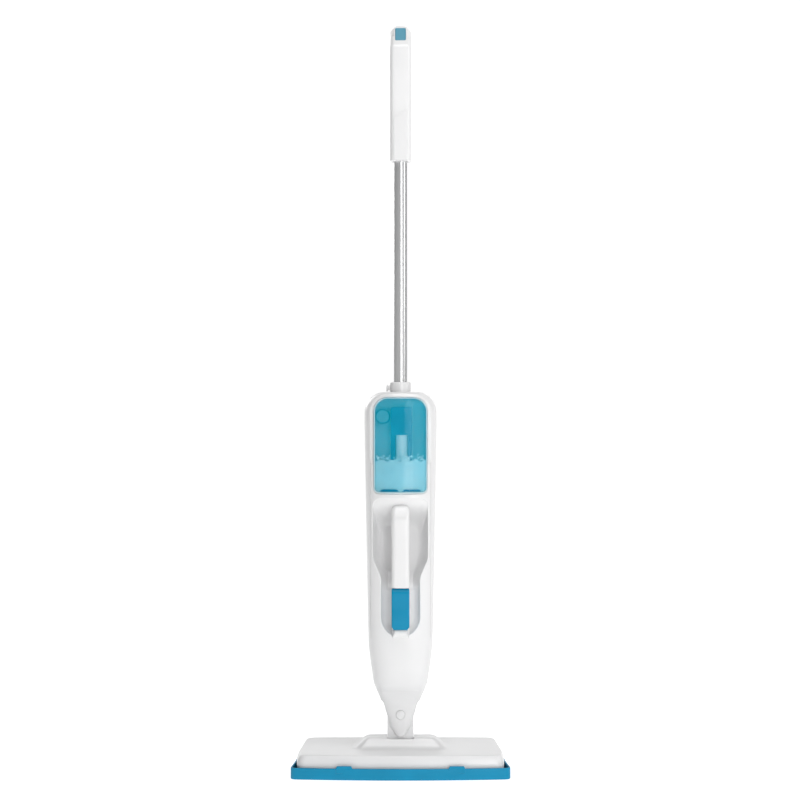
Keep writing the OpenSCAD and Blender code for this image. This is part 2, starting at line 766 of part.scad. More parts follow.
filler_x = -28;
filler_z = 560;
cap_r = 10;
outlet_r = 5;
module tank_shell() {
    color(tank_blue) difference() {
        union() {
            difference() {
                tank_body(0);
                tank_body(tank_wall);
            }
            translate([filler_x, 0, filler_z]) rod_y(cap_r + 2, -tank_back - 9, -tank_back - 0.6);
        }
        translate([filler_x, 0, filler_z]) rod_y(cap_r + running, -tank_back - 12, -tank_back + 5);
        translate([0, 0, seat_z]) rod_y(outlet_r + running, -tank_back - 6, -tank_back + 5);
    }
}

module filter_housing() {
    // Guides that keep the block over the dip tube
    color(blue) for (x = [-15, 11.2]) span([x, -36, 492], [x + 6.8, -30, 531]);
    color(blue) difference() {
        slab_y(-42, -tank_back - tank_wall - 0.2) offset(r = 3) offset(delta = -3)
            translate([-15, 531]) square([33, 44]);
        span([-10, -40, 535], [13, -tank_back - tank_wall - 3, 571]);
        translate([1.5, -33, 520]) cylinder(r = 6, h = 20);
    }
}

module dip_tube() {
    color([0.85, 0.93, 0.95]) translate([1.5, -33, tank_low + 8]) difference() {
        cylinder(r = 8.5, h = 531 - tank_low - 8);
        translate([0, 0, -1]) cylinder(r = 6.5, h = 120);
    }
}

module tank_outlet() {
    color([0.85, 0.85, 0.85]) translate([0, 0, seat_z]) difference() {
        union() {
            rod_y(outlet_r, -tank_back - tank_wall - 2, -10);
            rod_y(6.6, -tank_back - tank_wall - 2, -tank_back - tank_wall - 0.1);
        }
        rod_y(2.4, -60, 0);
    }
}

module outlet_seal() {
    color(dark) translate([0, -13, seat_z]) rotate([90, 0, 0])
        rotate_extrude() translate([outlet_r + 0.85, 0]) circle(r = 0.85);
}

module filler_cap() {
    y_out = -tank_back - 1;
    color(white) translate([filler_x, 0, filler_z]) difference() {
        rod_y(cap_r, y_out - 7, y_out);
        // Finger dishes either side of a grip rib
        for (s = [-1, 1]) intersection() {
            rod_y(7.8, y_out - 4, y_out + 1);
            span([s > 0 ? 1.5 : -12, y_out - 5, -12], [s > 0 ? 12 : -1.5, y_out + 2, 12]);
        }
    }
}

// ---------- Tube and handle ----------

tube_foot = 522;
tube_head = 1046;
module pole_tube() {
    color(steel) difference() {
        translate([0, 0, tube_foot]) cylinder(r = tube_r, h = tube_head - tube_foot);
        translate([0, 0, tube_foot - 1]) cylinder(r = tube_r - 1, h = tube_head - tube_foot + 2);
    }
}

module contact_plug() {
    color(dark) {
        translate([0, 0, tube_foot - 10]) cylinder(r = tube_r - 0.1, h = 10);
        translate([0, 0, tube_foot]) cylinder(r = tube_r - 1.05, h = 12);
        for (a = [0:120:240]) rotate(a) translate([6, 0, tube_foot - 32]) cylinder(r = 1.2, h = 23);
    }
}

slope_mid = [-12.2, handle_top - 17.7];
// Side outline of the handle, in Y and Z
module handle_side() {
    offset(r = 5) offset(delta = -5) polygon([[-19, handle_low - 6], [-19, 1040], [-34, 1108],
        [-34, handle_top - 39.5], [3, handle_top - 2.5], [10, handle_top], [22, handle_top],
        [38, handle_top - 7], [46, handle_top - 24], [46, 1090], [38, 1062], [19, 1042],
        [19, handle_low - 6]]);
}
module grip_hole() {
    offset(r = 9) offset(delta = -9) polygon([[-4, 1052], [-13, 1108], [-13, handle_top - 44],
        [2, handle_top - 29], [20, handle_top - 29], [27, handle_top - 40], [27, 1090], [20, 1064]]);
}
module handle_shape(d) {
    difference() {
        offset(delta = -d) handle_side();
        offset(delta = d) grip_hole();
        translate([-60, handle_low - 20]) square([120, 20]);
    }
}
// Band along the front that the strip takes up
module strip_shape() {
    intersection() {
        difference() {
            handle_shape(0);
            offset(delta = -1.6) handle_side();
        }
        translate([-60, handle_low]) square([63, 300]);
    }
}

wall = 3.6;
module button_pocket(w, length, deep) {
    translate([0, slope_mid[0], slope_mid[1]]) rotate([45, 0, 0])
        span([-w / 2, -length / 2, -deep], [w / 2, length / 2, 20]);
}

// Left (side -1) or right (side 1) half of the handle
module handle_half_shell(side) {
    steps = [[0, 10.5, 0], [10.5, 12.6, 0], [12.6, 14.4, 0.7], [14.4, 15.6, 1.8], [15.6, handle_half, 3.2]];
    scale([side, 1, 1]) difference() {
        union() {
            for (s = steps) slab_x(s[0], s[1] + (s[1] < handle_half ? 0.01 : 0)) handle_shape(s[2]);
        }
        difference() {
            slab_x(-1, handle_half - 2.8) handle_shape(wall);
            span([-2, -30, handle_low - 1], [30, 30, handle_low + 12]);
            span([-2, -15.5, 1034], [30, 15.5, 1040]);
            slab_x(-1, handle_half) translate([-21, handle_top - 62]) circle(r = 4);
            slab_x(-1, handle_half) translate([36.5, 1110]) circle(r = 4);
            slab_x(-1, handle_half) translate([0, 1051]) circle(r = 3.4);
        }
        slab_x(-1, strip_w / 2 + 0.05) offset(delta = 0.05) strip_shape();
        cylinder(r = tube_r + 0.02, h = 1046.5);
        button_pocket(17.4, 34, 8.5);
        for (p = handle_bosses) translate([0, p[0], p[1]]) rod_x(1.6, -1, 12);
        for (p = handle_bosses) if (side < 0) translate([0, p[0], p[1]]) rod_x(3, 8, 30);
        translate([0, 0, hook_z]) rod_y(2, 10, 30);
    }
}
handle_bosses = [[-21, handle_top - 62], [36.5, 1110], [0, 1051]];

module handle_left_shell() {
    color(white) handle_half_shell(-1);
}
module handle_right_shell() {
    color(white) handle_half_shell(1);
}
module handle_front_strip() {
    color(white) difference() {
        slab_x(-strip_w / 2, strip_w / 2) strip_shape();
        button_pocket(17.4, 34, 12);
    }
}

module handle_button() {
    color(blue) translate([0, slope_mid[0], slope_mid[1]]) rotate([45, 0, 0]) {
        slab_y(-16.6, 16.6) polygon([[-8.4, -5], [8.4, -5], [8.4, -0.6], [7.1, 0.8], [-7.1, 0.8],
            [-8.4, -0.6]]);
    }
}

module handle_switch() {
    color(dark) translate([0, slope_mid[0], slope_mid[1]]) rotate([45, 0, 0])
        span([-4, -5, -13.4], [4, 5.6, -8.6]);
}

module handle_spring() {
    color(steel) translate([0, slope_mid[0], slope_mid[1]]) rotate([45, 0, 0])
        translate([0, 9, -8.4]) difference() {
            cylinder(r = 2.6, h = 3.3);
            translate([0, 0, -1]) cylinder(r = 1.9, h = 6);
        }
}

module handle_screws() {
    color(steel) for (p = handle_bosses)
        translate([-8.2, p[0], p[1]]) rotate([0, -90, 0]) screw(1.4, 16, 2.8);
}

hook_z = 990;
module upper_cord_hook() {
    color(white) difference() {
        union() {
            translate([0, 0, hook_z]) rod_y(8, 19.4, 24.5);
            slab_x(-7, 7) polygon([[19.4, hook_z], [24.5, hook_z], [25, hook_z + 12], [38, hook_z + 14],
                [44, hook_z + 20], [45, hook_z + 34], [41, hook_z + 34], [39, hook_z + 22],
                [35, hook_z + 18], [19.4, hook_z + 18]]);
        }
        translate([0, 0, hook_z]) rod_y(2.45, 10, 30);
        translate([0, 0, hook_z]) rod_y(5, 22.5, 30);
    }
}

module hook_screw() {
    color(steel) translate([0, 0, hook_z]) difference() {
        union() {
            rod_y(2, tube_r + 0.6, 19);
            rod_y(2.4, 19, 22.8);
            rod_y(4.4, 22.8, 24.6);
        }
        for (a = [0, 90]) rotate([0, a, 0]) span([-2.4, 23.6, -0.5], [2.4, 26, 0.5]);
    }
}

carpet_glider();
head_cover();
head_base_plate();
mop_pad();
hook_strips();
steam_distributor();
head_steam_hose();
head_screws();
pivot_bushes();
parking_detent();
knuckle();
trunnion_pin();
neck_housing();
swivel_pin();
body_front_shell();
body_rear_shell();
tank_frame();
pole_socket();
contact_socket();
release_button();
release_spring();
tank_seat();
pump();
boiler();
thermostat();
inlet_hose();
feed_hose();
steam_hose();
control_board();
thumb_button();
thumb_switch();
thumb_spring();
cable_gland();
body_screws();
lower_cord_hook();
tank_shell();
filter_housing();
dip_tube();
tank_outlet();
outlet_seal();
filler_cap();
pole_tube();
contact_plug();
handle_left_shell();
handle_right_shell();
handle_front_strip();
handle_button();
handle_switch();
handle_spring();
handle_screws();
upper_cord_hook();
hook_screw();
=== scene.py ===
"""Looks of the upright steam mop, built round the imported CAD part.

Shapes are worked out in millimetres in the part's own frame and scaled to metres when a mesh is made.
"""

import math

import bmesh
import bpy
import numpy as np
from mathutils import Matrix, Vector


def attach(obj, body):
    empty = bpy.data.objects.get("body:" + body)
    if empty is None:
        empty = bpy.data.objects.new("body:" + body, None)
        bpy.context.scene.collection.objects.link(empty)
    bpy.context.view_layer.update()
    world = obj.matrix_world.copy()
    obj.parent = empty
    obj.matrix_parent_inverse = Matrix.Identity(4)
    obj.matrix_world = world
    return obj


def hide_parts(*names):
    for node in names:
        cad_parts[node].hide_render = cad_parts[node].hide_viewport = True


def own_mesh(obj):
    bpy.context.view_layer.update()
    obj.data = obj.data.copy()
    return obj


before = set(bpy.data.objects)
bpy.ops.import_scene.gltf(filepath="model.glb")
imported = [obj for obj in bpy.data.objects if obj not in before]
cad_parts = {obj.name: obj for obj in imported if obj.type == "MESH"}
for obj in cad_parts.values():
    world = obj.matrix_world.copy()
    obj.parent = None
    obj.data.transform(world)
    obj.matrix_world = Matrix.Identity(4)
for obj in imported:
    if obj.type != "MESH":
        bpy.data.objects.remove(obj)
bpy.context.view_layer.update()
MM = 0.001
SIDES = (-1, 1)


# ---------- Outlines ----------


def rounded(corners, radius, step=3.0):
    """Dense closed outline through the corners, with a fillet at each."""
    pts = np.array(corners, float)
    radii = np.broadcast_to(radius, (len(pts),))
    out = []
    for i, here in enumerate(pts):
        before, after = pts[i - 1], pts[(i + 1) % len(pts)]
        u, v = before - here, after - here
        lu, lv = np.linalg.norm(u), np.linalg.norm(v)
        u, v = u / lu, v / lv
        half = math.acos(np.clip(u @ v, -1, 1)) / 2
        reach = min(radii[i] / math.tan(half), 0.49 * min(lu, lv)) if half < 1.57 else 0
        r = reach * math.tan(half)
        if r < 1e-3:
            out.append(here)
            continue
        centre = here + (u + v) / np.linalg.norm(u + v) * (r / math.sin(half))
        start, end = here + u * reach - centre, here + v * reach - centre
        a0 = math.atan2(start[1], start[0])
        sweep = (math.atan2(end[1], end[0]) - a0 + math.pi) % (2 * math.pi) - math.pi
        n = max(2, math.ceil(abs(sweep) / math.radians(9)))
        for k in range(n + 1):
            a = a0 + sweep * k / n
            out.append(centre + r * np.array([math.cos(a), math.sin(a)]))
    dense = []
    for i, here in enumerate(out):
        after = out[(i + 1) % len(out)]
        n = max(1, math.ceil(np.linalg.norm(after - here) / step))
        dense += [here + (after - here) * k / n for k in range(n)]
    dense = np.array(dense)
    area = np.sum(dense[:, 0] * np.roll(dense[:, 1], -1) - np.roll(dense[:, 0], -1) * dense[:, 1])
    return dense if area > 0 else dense[::-1]


def oblong(x0, y0, x1, y1, radius, step=3.0):
    """Rectangle with rounded corners, from its lower left to its upper right."""
    return rounded([(x0, y0), (x1, y0), (x1, y1), (x0, y1)], radius, step)


def arc(r, centre, degrees):
    """Points of an arc about (0, centre)."""
    return [(r * math.cos(t), centre + r * math.sin(t)) for t in np.radians(degrees)]


def circle(n):
    """n points of a circle of radius 1."""
    turns = np.linspace(0, 2 * np.pi, n, endpoint=False)
    return np.stack([np.cos(turns), np.sin(turns)], 1)


def offset(outline, inward):
    """The outline moved inward, by one distance or one for each point."""
    p = np.asarray(outline, float)
    a, b = p - np.roll(p, 1, 0), np.roll(p, -1, 0) - p
    a /= np.linalg.norm(a, axis=1)[:, None] + 1e-12
    b /= np.linalg.norm(b, axis=1)[:, None] + 1e-12
    t = a + b
    t /= np.linalg.norm(t, axis=1)[:, None]
    miter = np.clip(np.sum(t * b, axis=1), 0.5, 1)
    d = np.broadcast_to(inward, (len(p),)) / miter
    return p + np.stack([-t[:, 1], t[:, 0]], 1) * d[:, None]


def resample(line, n):
    """n points along an open line, its first and last points among them."""
    line = np.asarray(line, float)
    run = np.concatenate([[0], np.cumsum(np.linalg.norm(np.diff(line, axis=0), axis=1))])
    at = np.linspace(0, run[-1], n)
    return np.stack([np.interp(at, run, line[:, k]) for k in range(line.shape[1])], 1)


def four_sides(outline, low, high, counts):
    """A closed outline resampled from corner to corner, and the index where each side starts.
    low and high are its right corners. The left ones mirror them."""
    corners = [(-low[0], low[1]), low, high, (-high[0], high[1])]
    marks = [int(np.argmin(np.linalg.norm(outline - np.array(c), axis=1))) for c in corners]
    out, starts = [], []
    for k, n in enumerate(counts):
        a, b = marks[k], marks[(k + 1) % len(marks)]
        b = b if b > a else b + len(outline)
        starts.append(sum(counts[:k]))
        out.append(resample(outline[np.arange(a, b + 1) % len(outline)], n + 1)[:-1])
    return np.concatenate(out), starts


def halves(outline, n):
    """A closed outline as two lines of n points, both from its left end to its right."""
    line = np.roll(outline, -int(np.argmin(outline[:, 0] + abs(outline[:, 1]) * 1e-3)), 0)
    k = int(np.argmax(line[:, 0] - abs(line[:, 1]) * 1e-3))
    return resample(line[: k + 1], n), resample(np.concatenate([line[k:], line[:1]]), n)[::-1]


def patch(outline, across, up):
    """Rows of points that fill a closed outline, whose sides start at its lower left corner."""
    low, right = outline[: across + 1], outline[across : across + up + 1]
    high = outline[across + up : 2 * across + up + 1][::-1]
    left = np.concatenate([outline[2 * across + up :], outline[:1]])[::-1]
    u = np.linspace(0, 1, across + 1)[None, :, None]
    v = np.linspace(0, 1, up + 1)[:, None, None]
    corners = (1 - v) * ((1 - u) * low[0] + u * low[-1]) + v * ((1 - u) * high[0] + u * high[-1])
    return (1 - v) * low[None] + v * high[None] + (1 - u) * left[:, None] + u * right[:, None] - corners


def on(axis, outline, height):
    """Points of an outline lifted to 3-D. axis is the letter that the height is along."""
    p = np.asarray(outline, float)
    h = np.broadcast_to(height, (len(p),))
    x, y = p.T
    return np.stack({"x": (h, x, y), "y": (x, h, y), "z": (x, y, h)}[axis], 1)


def smooth_table(rows):
    """Smooth curve through rows of (height, value), flat beyond its ends."""
    x, y = np.array(rows, float).T
    h, s = np.diff(x), np.diff(y) / np.diff(x)
    m = np.concatenate([[s[0]], np.zeros(len(x) - 2), [s[-1]]])
    same = s[:-1] * s[1:] > 0
    m[1:-1][same] = 2 * s[:-1][same] * s[1:][same] / (s[:-1][same] + s[1:][same])

    def at(z):
        z = np.clip(np.asarray(z, float), x[0], x[-1])
        i = np.clip(np.searchsorted(x, z) - 1, 0, len(h) - 1)
        t = (z - x[i]) / h[i]
        a, b = y[i], y[i + 1]
        return (
            a * (1 + 2 * t) * (1 - t) ** 2
            + m[i] * h[i] * t * (1 - t) ** 2
            + b * t * t * (3 - 2 * t)
            + m[i + 1] * h[i] * t * t * (t - 1)
        )

    return at


def quarter(n):
    """A quarter turn in n steps, as (1 - sine, 1 - cosine)."""
    return [(1 - math.sin(t), 1 - math.cos(t)) for t in np.linspace(0, math.pi / 2, n)]


def ease(low, high, x):
    t = np.clip((np.asarray(x, float) - low) / (high - low), 0, 1)
    return t * t * (3 - 2 * t)


# ---------- Meshes ----------

SEAM, SEAM_FRONT = 0.5, -14.0  # width of an open seam, and how far forward it has to be


class Part:
    """Vertices and faces of a piece, in millimetres."""

    def __init__(self):
        self.points, self.faces = [], []

    def grid(self, rows, closed=False):
        """Quads between rows of points. closed joins the end of each row to its start."""
        rows = np.asarray(rows, float)
        m, n = rows.shape[:2]
        base = len(self.points)
        self.points += rows.reshape(-1, 3).tolist()
        for r in range(m - 1):
            for c in range(n if closed else n - 1):
                a, b = base + r * n + c, base + r * n + (c + 1) % n
                self.faces.append((a, b, b + n, a + n))
        return self

    def hoop(self, rows):
        """Quads between closed rows of points, the last row joined to the first."""
        return self.grid([*rows, rows[0]], closed=True)

    def face(self, ring):
        base = len(self.points)
        self.points += np.asarray(ring, float).tolist()
        self.faces.append(tuple(range(base, base + len(ring))))
        return self

    def tube(self, rings):
        """Closed solid through rings, with flat ends."""
        self.grid(rings, closed=True)
        self.face(rings[0])
        return self.face(rings[-1])

    def mesh(self, flip=False):
        bm = bmesh.new()
        verts = [bm.verts.new(Vector(p) * MM) for p in self.points]
        for f in self.faces:
            if len(set(f)) > 2:
                try:
                    bm.faces.new([verts[i] for i in f])
                except ValueError:
                    pass
        bmesh.ops.remove_doubles(bm, verts=bm.verts, dist=2e-6)
        bmesh.ops.dissolve_degenerate(bm, edges=bm.edges, dist=1e-7)
        bmesh.ops.recalc_face_normals(bm, faces=bm.faces)
        if flip:
            bmesh.ops.reverse_faces(bm, faces=bm.faces)
        return bm


def soften(mesh, degrees=32):
    """Smooth shading, with sharp edges where faces meet at more than this angle."""
    bm = bmesh.new()
    bm.from_mesh(mesh)
    limit = math.radians(degrees)
    for f in bm.faces:
        f.smooth = True
    for e in bm.edges:
        e.smooth = len(e.link_faces) != 2 or e.calc_face_angle(0) < limit
    bm.to_mesh(mesh)
    bm.free()


def link(name, bm):
    """An object in the scene made of a bmesh, which is then freed."""
    mesh = bpy.data.meshes.new(name)
    bm.to_mesh(mesh)
    bm.free()
    obj = bpy.data.objects.new(name, mesh)
    bpy.context.scene.collection.objects.link(obj)
    return obj


def piece(name, part, material, body, nodes=(), inner=None, outward=None, wall=0.0, seams=()):
    """A piece that rides on a CAD body and stands for CAD nodes. inner is the surface of a closed hollow.
    wall thickens an open skin inward, away from the direction outward gives at each point.
    Each seam opens the skin in front: the axis it is square to, its place, its two ends along the other."""
    bm = part.mesh()
    for axis, at, low, high in seams:
        for cut in (at - SEAM / 2, at + SEAM / 2):
            for side in SIDES if axis == 0 else (1,):
                everything = bm.verts[:] + bm.edges[:] + bm.faces[:]
                square = Vector([side if k == axis else 0 for k in range(3)])
                bmesh.ops.bisect_plane(bm, geom=everything, dist=1e-6, plane_co=square * cut * MM,
                                       plane_no=square)
        middles = [(f, f.calc_center_median() / MM) for f in bm.faces]
        gone = [f for f, c in middles if abs(abs(c[axis]) - at) < SEAM / 2 and low < abs(c[2 - axis]) < high
                and c.y < SEAM_FRONT]
        bmesh.ops.delete(bm, geom=gone, context="FACES")
    if outward is not None:
        score = sum(f.normal.dot(Vector(outward(f.calc_center_median() / MM))) * f.calc_area()
                    for f in bm.faces)
        if score < 0:
            bmesh.ops.reverse_faces(bm, faces=bm.faces)
    if inner is not None:
        hollow = inner.mesh(flip=True)
        spare = bpy.data.meshes.new("hollow")
        hollow.to_mesh(spare)
        hollow.free()
        bm.from_mesh(spare)
        bpy.data.meshes.remove(spare)
    obj = link(name, bm)
    obj.data.materials.append(material)
    if wall:
        skin = obj.modifiers.new("wall", "SOLIDIFY")
        skin.thickness = wall * MM
        skin.offset = -1
        skin.use_even_offset = True
        bake(obj)
    soften(obj.data)
    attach(obj, body)
    if nodes:
        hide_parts(*nodes)
    return obj


def bake(obj):
    """Applies every modifier of a piece to its mesh."""
    graph = bpy.context.evaluated_depsgraph_get()
    done = bpy.data.meshes.new_from_object(obj.evaluated_get(graph))
    obj.modifiers.clear()
    old, obj.data = obj.data, done
    bpy.data.meshes.remove(old)


def combine(obj, *parts, operation="DIFFERENCE"):
    """Cuts closed shapes out of a piece one after another, or joins them on."""
    for part in parts:
        tool = link("tool", part.mesh())
        step = obj.modifiers.new("step", "BOOLEAN")
        step.operation, step.solver, step.object = operation, "EXACT", tool
        bake(obj)
        bpy.data.meshes.remove(tool.data)
    soften(obj.data)
    return obj


def level(obj):
    """Shades broad faces flat up to their fillets."""
    m = obj.modifiers.new("normals", "WEIGHTED_NORMAL")
    m.keep_sharp = True
    m.weight = 80


def slab(outline, low, high, axis, edge=1.0, steps=4, part=None):
    """Outline made solid from low to high along an axis, with rounded rims."""
    turns = quarter(steps + 1)
    rings = [on(axis, offset(outline, edge * s), low + edge * c) for s, c in turns]
    rings += [on(axis, offset(outline, edge * s), high - edge * c) for s, c in turns[::-1]]
    return (part or Part()).tube(rings)


def lathe(profile, centre=(0, 0, 0), axis="z", sides=96, part=None):
    """Closed profile of (radius, height) turned about an axis through the centre."""
    part = part or Part()
    rings = [on(axis, circle(sides) * r, h) + np.array(centre, float) for r, h in profile]
    return part.hoop(rings)


def rod(r, low, high, centre=(0, 0, 0), axis="z", part=None):
    """Plain cylinder, used as a cutter."""
    rings = [on(axis, circle(64) * r, h) + np.array(centre, float) for h in (low, high)]
    return (part or Part()).tube(rings)


def block(low, high, part=None):
    """Plain box, used as a cutter."""
    (x0, y0, z0), (x1, y1, z1) = low, high
    ring = [(x0, y0), (x1, y0), (x1, y1), (x0, y1)]
    return (part or Part()).tube([on("z", ring, z0), on("z", ring, z1)])


def sweep(path, r, sides=10, part=None):
    """Round wire along a path."""
    path = np.asarray(path, float)
    t = np.gradient(path, axis=0)
    t /= np.linalg.norm(t, axis=1)[:, None]
    up = np.cross(t[0], [0.31, 0.57, 0.76])
    turns = np.linspace(0, 2 * np.pi, sides, endpoint=False)
    rings = []
    for p, d in zip(path, t):
        up = up - d * (up @ d)
        up /= np.linalg.norm(up)
        side = np.cross(d, up)
        rings.append(p + r * (np.cos(turns)[:, None] * up + np.sin(turns)[:, None] * side))
    return (part or Part()).tube(np.array(rings))


def coil(r, wire, low, high, turns, centre=(0, 0, 0), axis="z"):
    """Compression spring with closed ends."""
    t = np.linspace(0, 1, int(turns * 24) + 1)
    span, end = high - low, wire * 2.1
    rise = np.interp(t, [0, 1 / turns, 1 - 1 / turns, 1], [0, end, span - end, span])
    rise = low + np.clip(rise, wire, span - wire)
    angle = 2 * np.pi * turns * t
    ring = np.stack([np.cos(angle), np.sin(angle)], 1) * r
    return sweep(on(axis, ring, rise) + np.array(centre, float), wire)


# ---------- Materials ----------


def feed(m, node, **values):
    """Sets a node's inputs, or links those whose value is another node's output."""
    for key, value in values.items():
        socket = node.inputs[key.replace("_", " ")]
        if isinstance(value, bpy.types.NodeSocket):
            m.node_tree.links.new(value, socket)
        else:
            socket.default_value = value
    return node


def add(m, kind, **values):
    """A new node of a material, with its inputs fed."""
    return feed(m, m.node_tree.nodes.new("ShaderNode" + kind), **values)


def blank(name):
    """A new material, its shader and the object's coordinates."""
    m = bpy.data.materials.new(name)
    m.use_nodes = True
    return m, m.node_tree.nodes["Principled BSDF"], add(m, "TexCoord").outputs["Object"]


def dye(m, factor, low, high, ends=(0, 1)):
    """Colour that goes from low to high as the factor goes from one end to the other."""
    ramp = add(m, "ValToRGB", Fac=factor)
    for stop, at, colour in zip(ramp.color_ramp.elements, ends, (low, high)):
        stop.position, stop.color = at, [*colour, 1]
    return ramp.outputs["Color"]


def material(name, colour, roughness, tone=0.03, tone_size=0.05, grain=0.0004, bump=0.03, swing=0.05,
             stretch=(1, 1, 1), **sockets):
    """Moulded or drawn surface: slow change of tone, fine grain in the bump, patchy roughness.
    Sizes are in metres. sockets are Principled sockets that are the same all over."""
    m, shader, place = blank(name)
    spread = add(m, "Mapping", Scale=stretch, Vector=place).outputs["Vector"]
    slow, patchy, fine = (add(m, "TexNoise", Scale=1 / size, Detail=detail, Vector=spread).outputs["Fac"]
                          for size, detail in ((tone_size, 3), (tone_size * 0.4, 4), (grain, 2)))
    tones = [[min(1, c * t) for c in colour] for t in (1 - tone, 1 + tone)]
    rough = add(m, "MapRange", Value=patchy, To_Min=max(0.02, roughness - swing), To_Max=roughness + swing)
    relief = add(m, "Bump", Strength=bump, Distance=grain, Height=fine)
    feed(m, shader, Base_Color=dye(m, slow, *tones, (0.3, 0.7)), Roughness=rough.outputs["Result"],
         Normal=relief.outputs["Normal"], **sockets)
    return m


WAVE_SCALE = 0.314  # scale at which the bands of a wave texture are one metre apart


def woven(name, colour, dark, pitch, depth, fuzz=0.0006):
    """Cloth: two crossed sets of loops with fibre noise over them."""
    m, shader, place = blank(name)
    cross, total = add(m, "Math"), add(m, "Math")
    cross.operation, total.operation = "MULTIPLY", "ADD"
    for k, direction in enumerate("XY"):
        wave = add(m, "TexWave", Scale=WAVE_SCALE / pitch, Distortion=1.6, Detail=2, Vector=place)
        wave.bands_direction = direction
        m.node_tree.links.new(wave.outputs["Fac"], cross.inputs[k])
    fibre = add(m, "TexNoise", Scale=1 / fuzz, Detail=5, Vector=place).outputs["Fac"]
    for k, output in enumerate((cross.outputs[0], fibre)):
        m.node_tree.links.new(output, total.inputs[k])
    relief = add(m, "Bump", Distance=depth, Strength=0.7, Height=total.outputs[0])
    rough = add(m, "MapRange", Value=fibre, To_Min=0.8, To_Max=0.98)
    # The colour follows the weave's height, dark in its low parts: random fibre tone, and painted shade in
    # the hollows of the weave.
    feed(m, shader, Base_Color=dye(m, total.outputs[0], dark, colour), Roughness=rough.outputs["Result"],
         Normal=relief.outputs["Normal"], Sheen_Weight=0.35)
    return m


white = material("white_plastic", (0.8, 0.8, 0.803), 0.3, tone=0.012, Coat_Weight=0.1, Coat_Roughness=0.12)
pale = material("inner_plastic", (0.66, 0.67, 0.67), 0.5, tone=0.04, bump=0.08)
blue = material("blue_plastic", (0.001, 0.25, 0.44), 0.32, tone=0.05, Specular_IOR_Level=0.22)
satin_blue = material("satin_blue_plastic", (0.09, 0.3, 0.41), 0.42, tone=0.05, Specular_IOR_Level=0.3)
filter_blue = material("filter_plastic", (0.0006, 0.085, 0.22), 0.4, tone=0.06, Specular_IOR_Level=0.2)
tank_tint = material("tank_plastic", (0.0, 0.6, 0.82), 0.07, tone=0.08, tone_size=0.03, swing=0.02, bump=0.01,
                     Alpha=0.24, IOR=1.4)
water_tint = material("tank_water", (0.75, 0.92, 0.94), 0.05, tone=0.05, tone_size=0.02, swing=0.02,
                      bump=0.02, Alpha=0.8, IOR=1.33)
clear = material("clear_plastic", (0.86, 0.94, 0.95), 0.12, tone=0.05, Alpha=0.9)
steel = material("polished_tube", (0.78, 0.785, 0.79), 0.24, tone=0.03, tone_size=0.01, grain=0.0002,
                 bump=0.05, swing=0.04, stretch=(1, 1, 0.02), Metallic=0.7)
zinc = material("zinc_steel", (0.62, 0.62, 0.63), 0.34, tone=0.08, tone_size=0.004, bump=0.15, Metallic=1.0)
spring_wire = material("spring_wire", (0.5, 0.51, 0.53), 0.3, tone=0.08, tone_size=0.003, bump=0.1,
                       Metallic=1.0)
alloy = material("cast_alloy", (0.56, 0.56, 0.58), 0.46, tone=0.08, tone_size=0.006, grain=0.0008, bump=0.35,
                 Metallic=1.0)
dark = material("dark_plastic", (0.03, 0.03, 0.034), 0.5, tone=0.15, bump=0.15)
bush = material("bush_plastic", (0.72, 0.69, 0.6), 0.45, tone=0.05, bump=0.06)
silicone = material("silicone_hose", (0.72, 0.72, 0.69), 0.48, tone=0.06, tone_size=0.01, bump=0.06,
                    Subsurface_Weight=0.1)
rubber = material("seal_rubber", (0.025, 0.025, 0.026), 0.7, tone=0.2, bump=0.25)
board = material("circuit_board", (0.012, 0.11, 0.05), 0.4, tone=0.25, tone_size=0.004, bump=0.2)
# The filler cap gets a darker blue, the shaded tone of the bay round it seen through the tank: painted shade,
# not the cap's own colour.
shaded_cap_colour = material("cap_painted_shade", (0.12, 0.37, 0.46), 0.4, tone=0.03)
microfibre = woven("microfibre", (0.84, 0.86, 0.88), (0.6, 0.64, 0.68), 0.0022, 0.0006)
binding = woven("binding_tape", (0.1, 0.42, 0.58), (0.03, 0.22, 0.36), 0.0009, 0.0003)
hook_tape = woven("hook_tape", (0.06, 0.06, 0.065), (0.01, 0.01, 0.012), 0.0012, 0.0006, 0.0003)

KEPT = {
    pale: ["head_base_plate", "steam_distributor", "head_steam_hose", "contact_socket", "tank_seat",
           "tank_outlet"],
    bush: ["pivot_bushes"],
    zinc: ["head_screws", "parking_detent", "trunnion_pin", "swivel_pin", "body_screws", "handle_screws",
           "hook_screw"],
    white: ["release_button"],
    shaded_cap_colour: ["filler_cap"],
    dark: ["pump", "thermostat", "thumb_switch", "contact_plug", "handle_switch"],
    alloy: ["boiler"],
    silicone: ["inlet_hose", "feed_hose", "steam_hose"],
    board: ["control_board"],
    rubber: ["cable_gland", "outlet_seal"],
    hook_tape: ["hook_strips"],
    clear: ["dip_tube"],
}
for finish, names in KEPT.items():
    for node in names:
        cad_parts[node].data.materials.clear()
        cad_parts[node].data.materials.append(finish)


# ---------- Camera and light ----------

EYE = (-0.0008, -3.0, 0.586)
camera = bpy.data.objects.new("camera", bpy.data.cameras.new("camera"))
camera.data.lens, camera.data.sensor_width = 85, 36
camera.data.clip_start, camera.data.clip_end = 0.1, 40
camera.location = EYE
camera.rotation_euler = (math.pi / 2, 0, 0)
bpy.context.scene.collection.objects.link(camera)
bpy.context.scene.camera = camera
bpy.context.scene.view_settings.view_transform = "Standard"

world = bpy.data.worlds.new("studio")
world.use_nodes = True
world.node_tree.nodes["Background"].inputs["Color"].default_value = (1, 1, 1, 1)
world.node_tree.nodes["Background"].inputs["Strength"].default_value = 0.16
bpy.context.scene.world = world


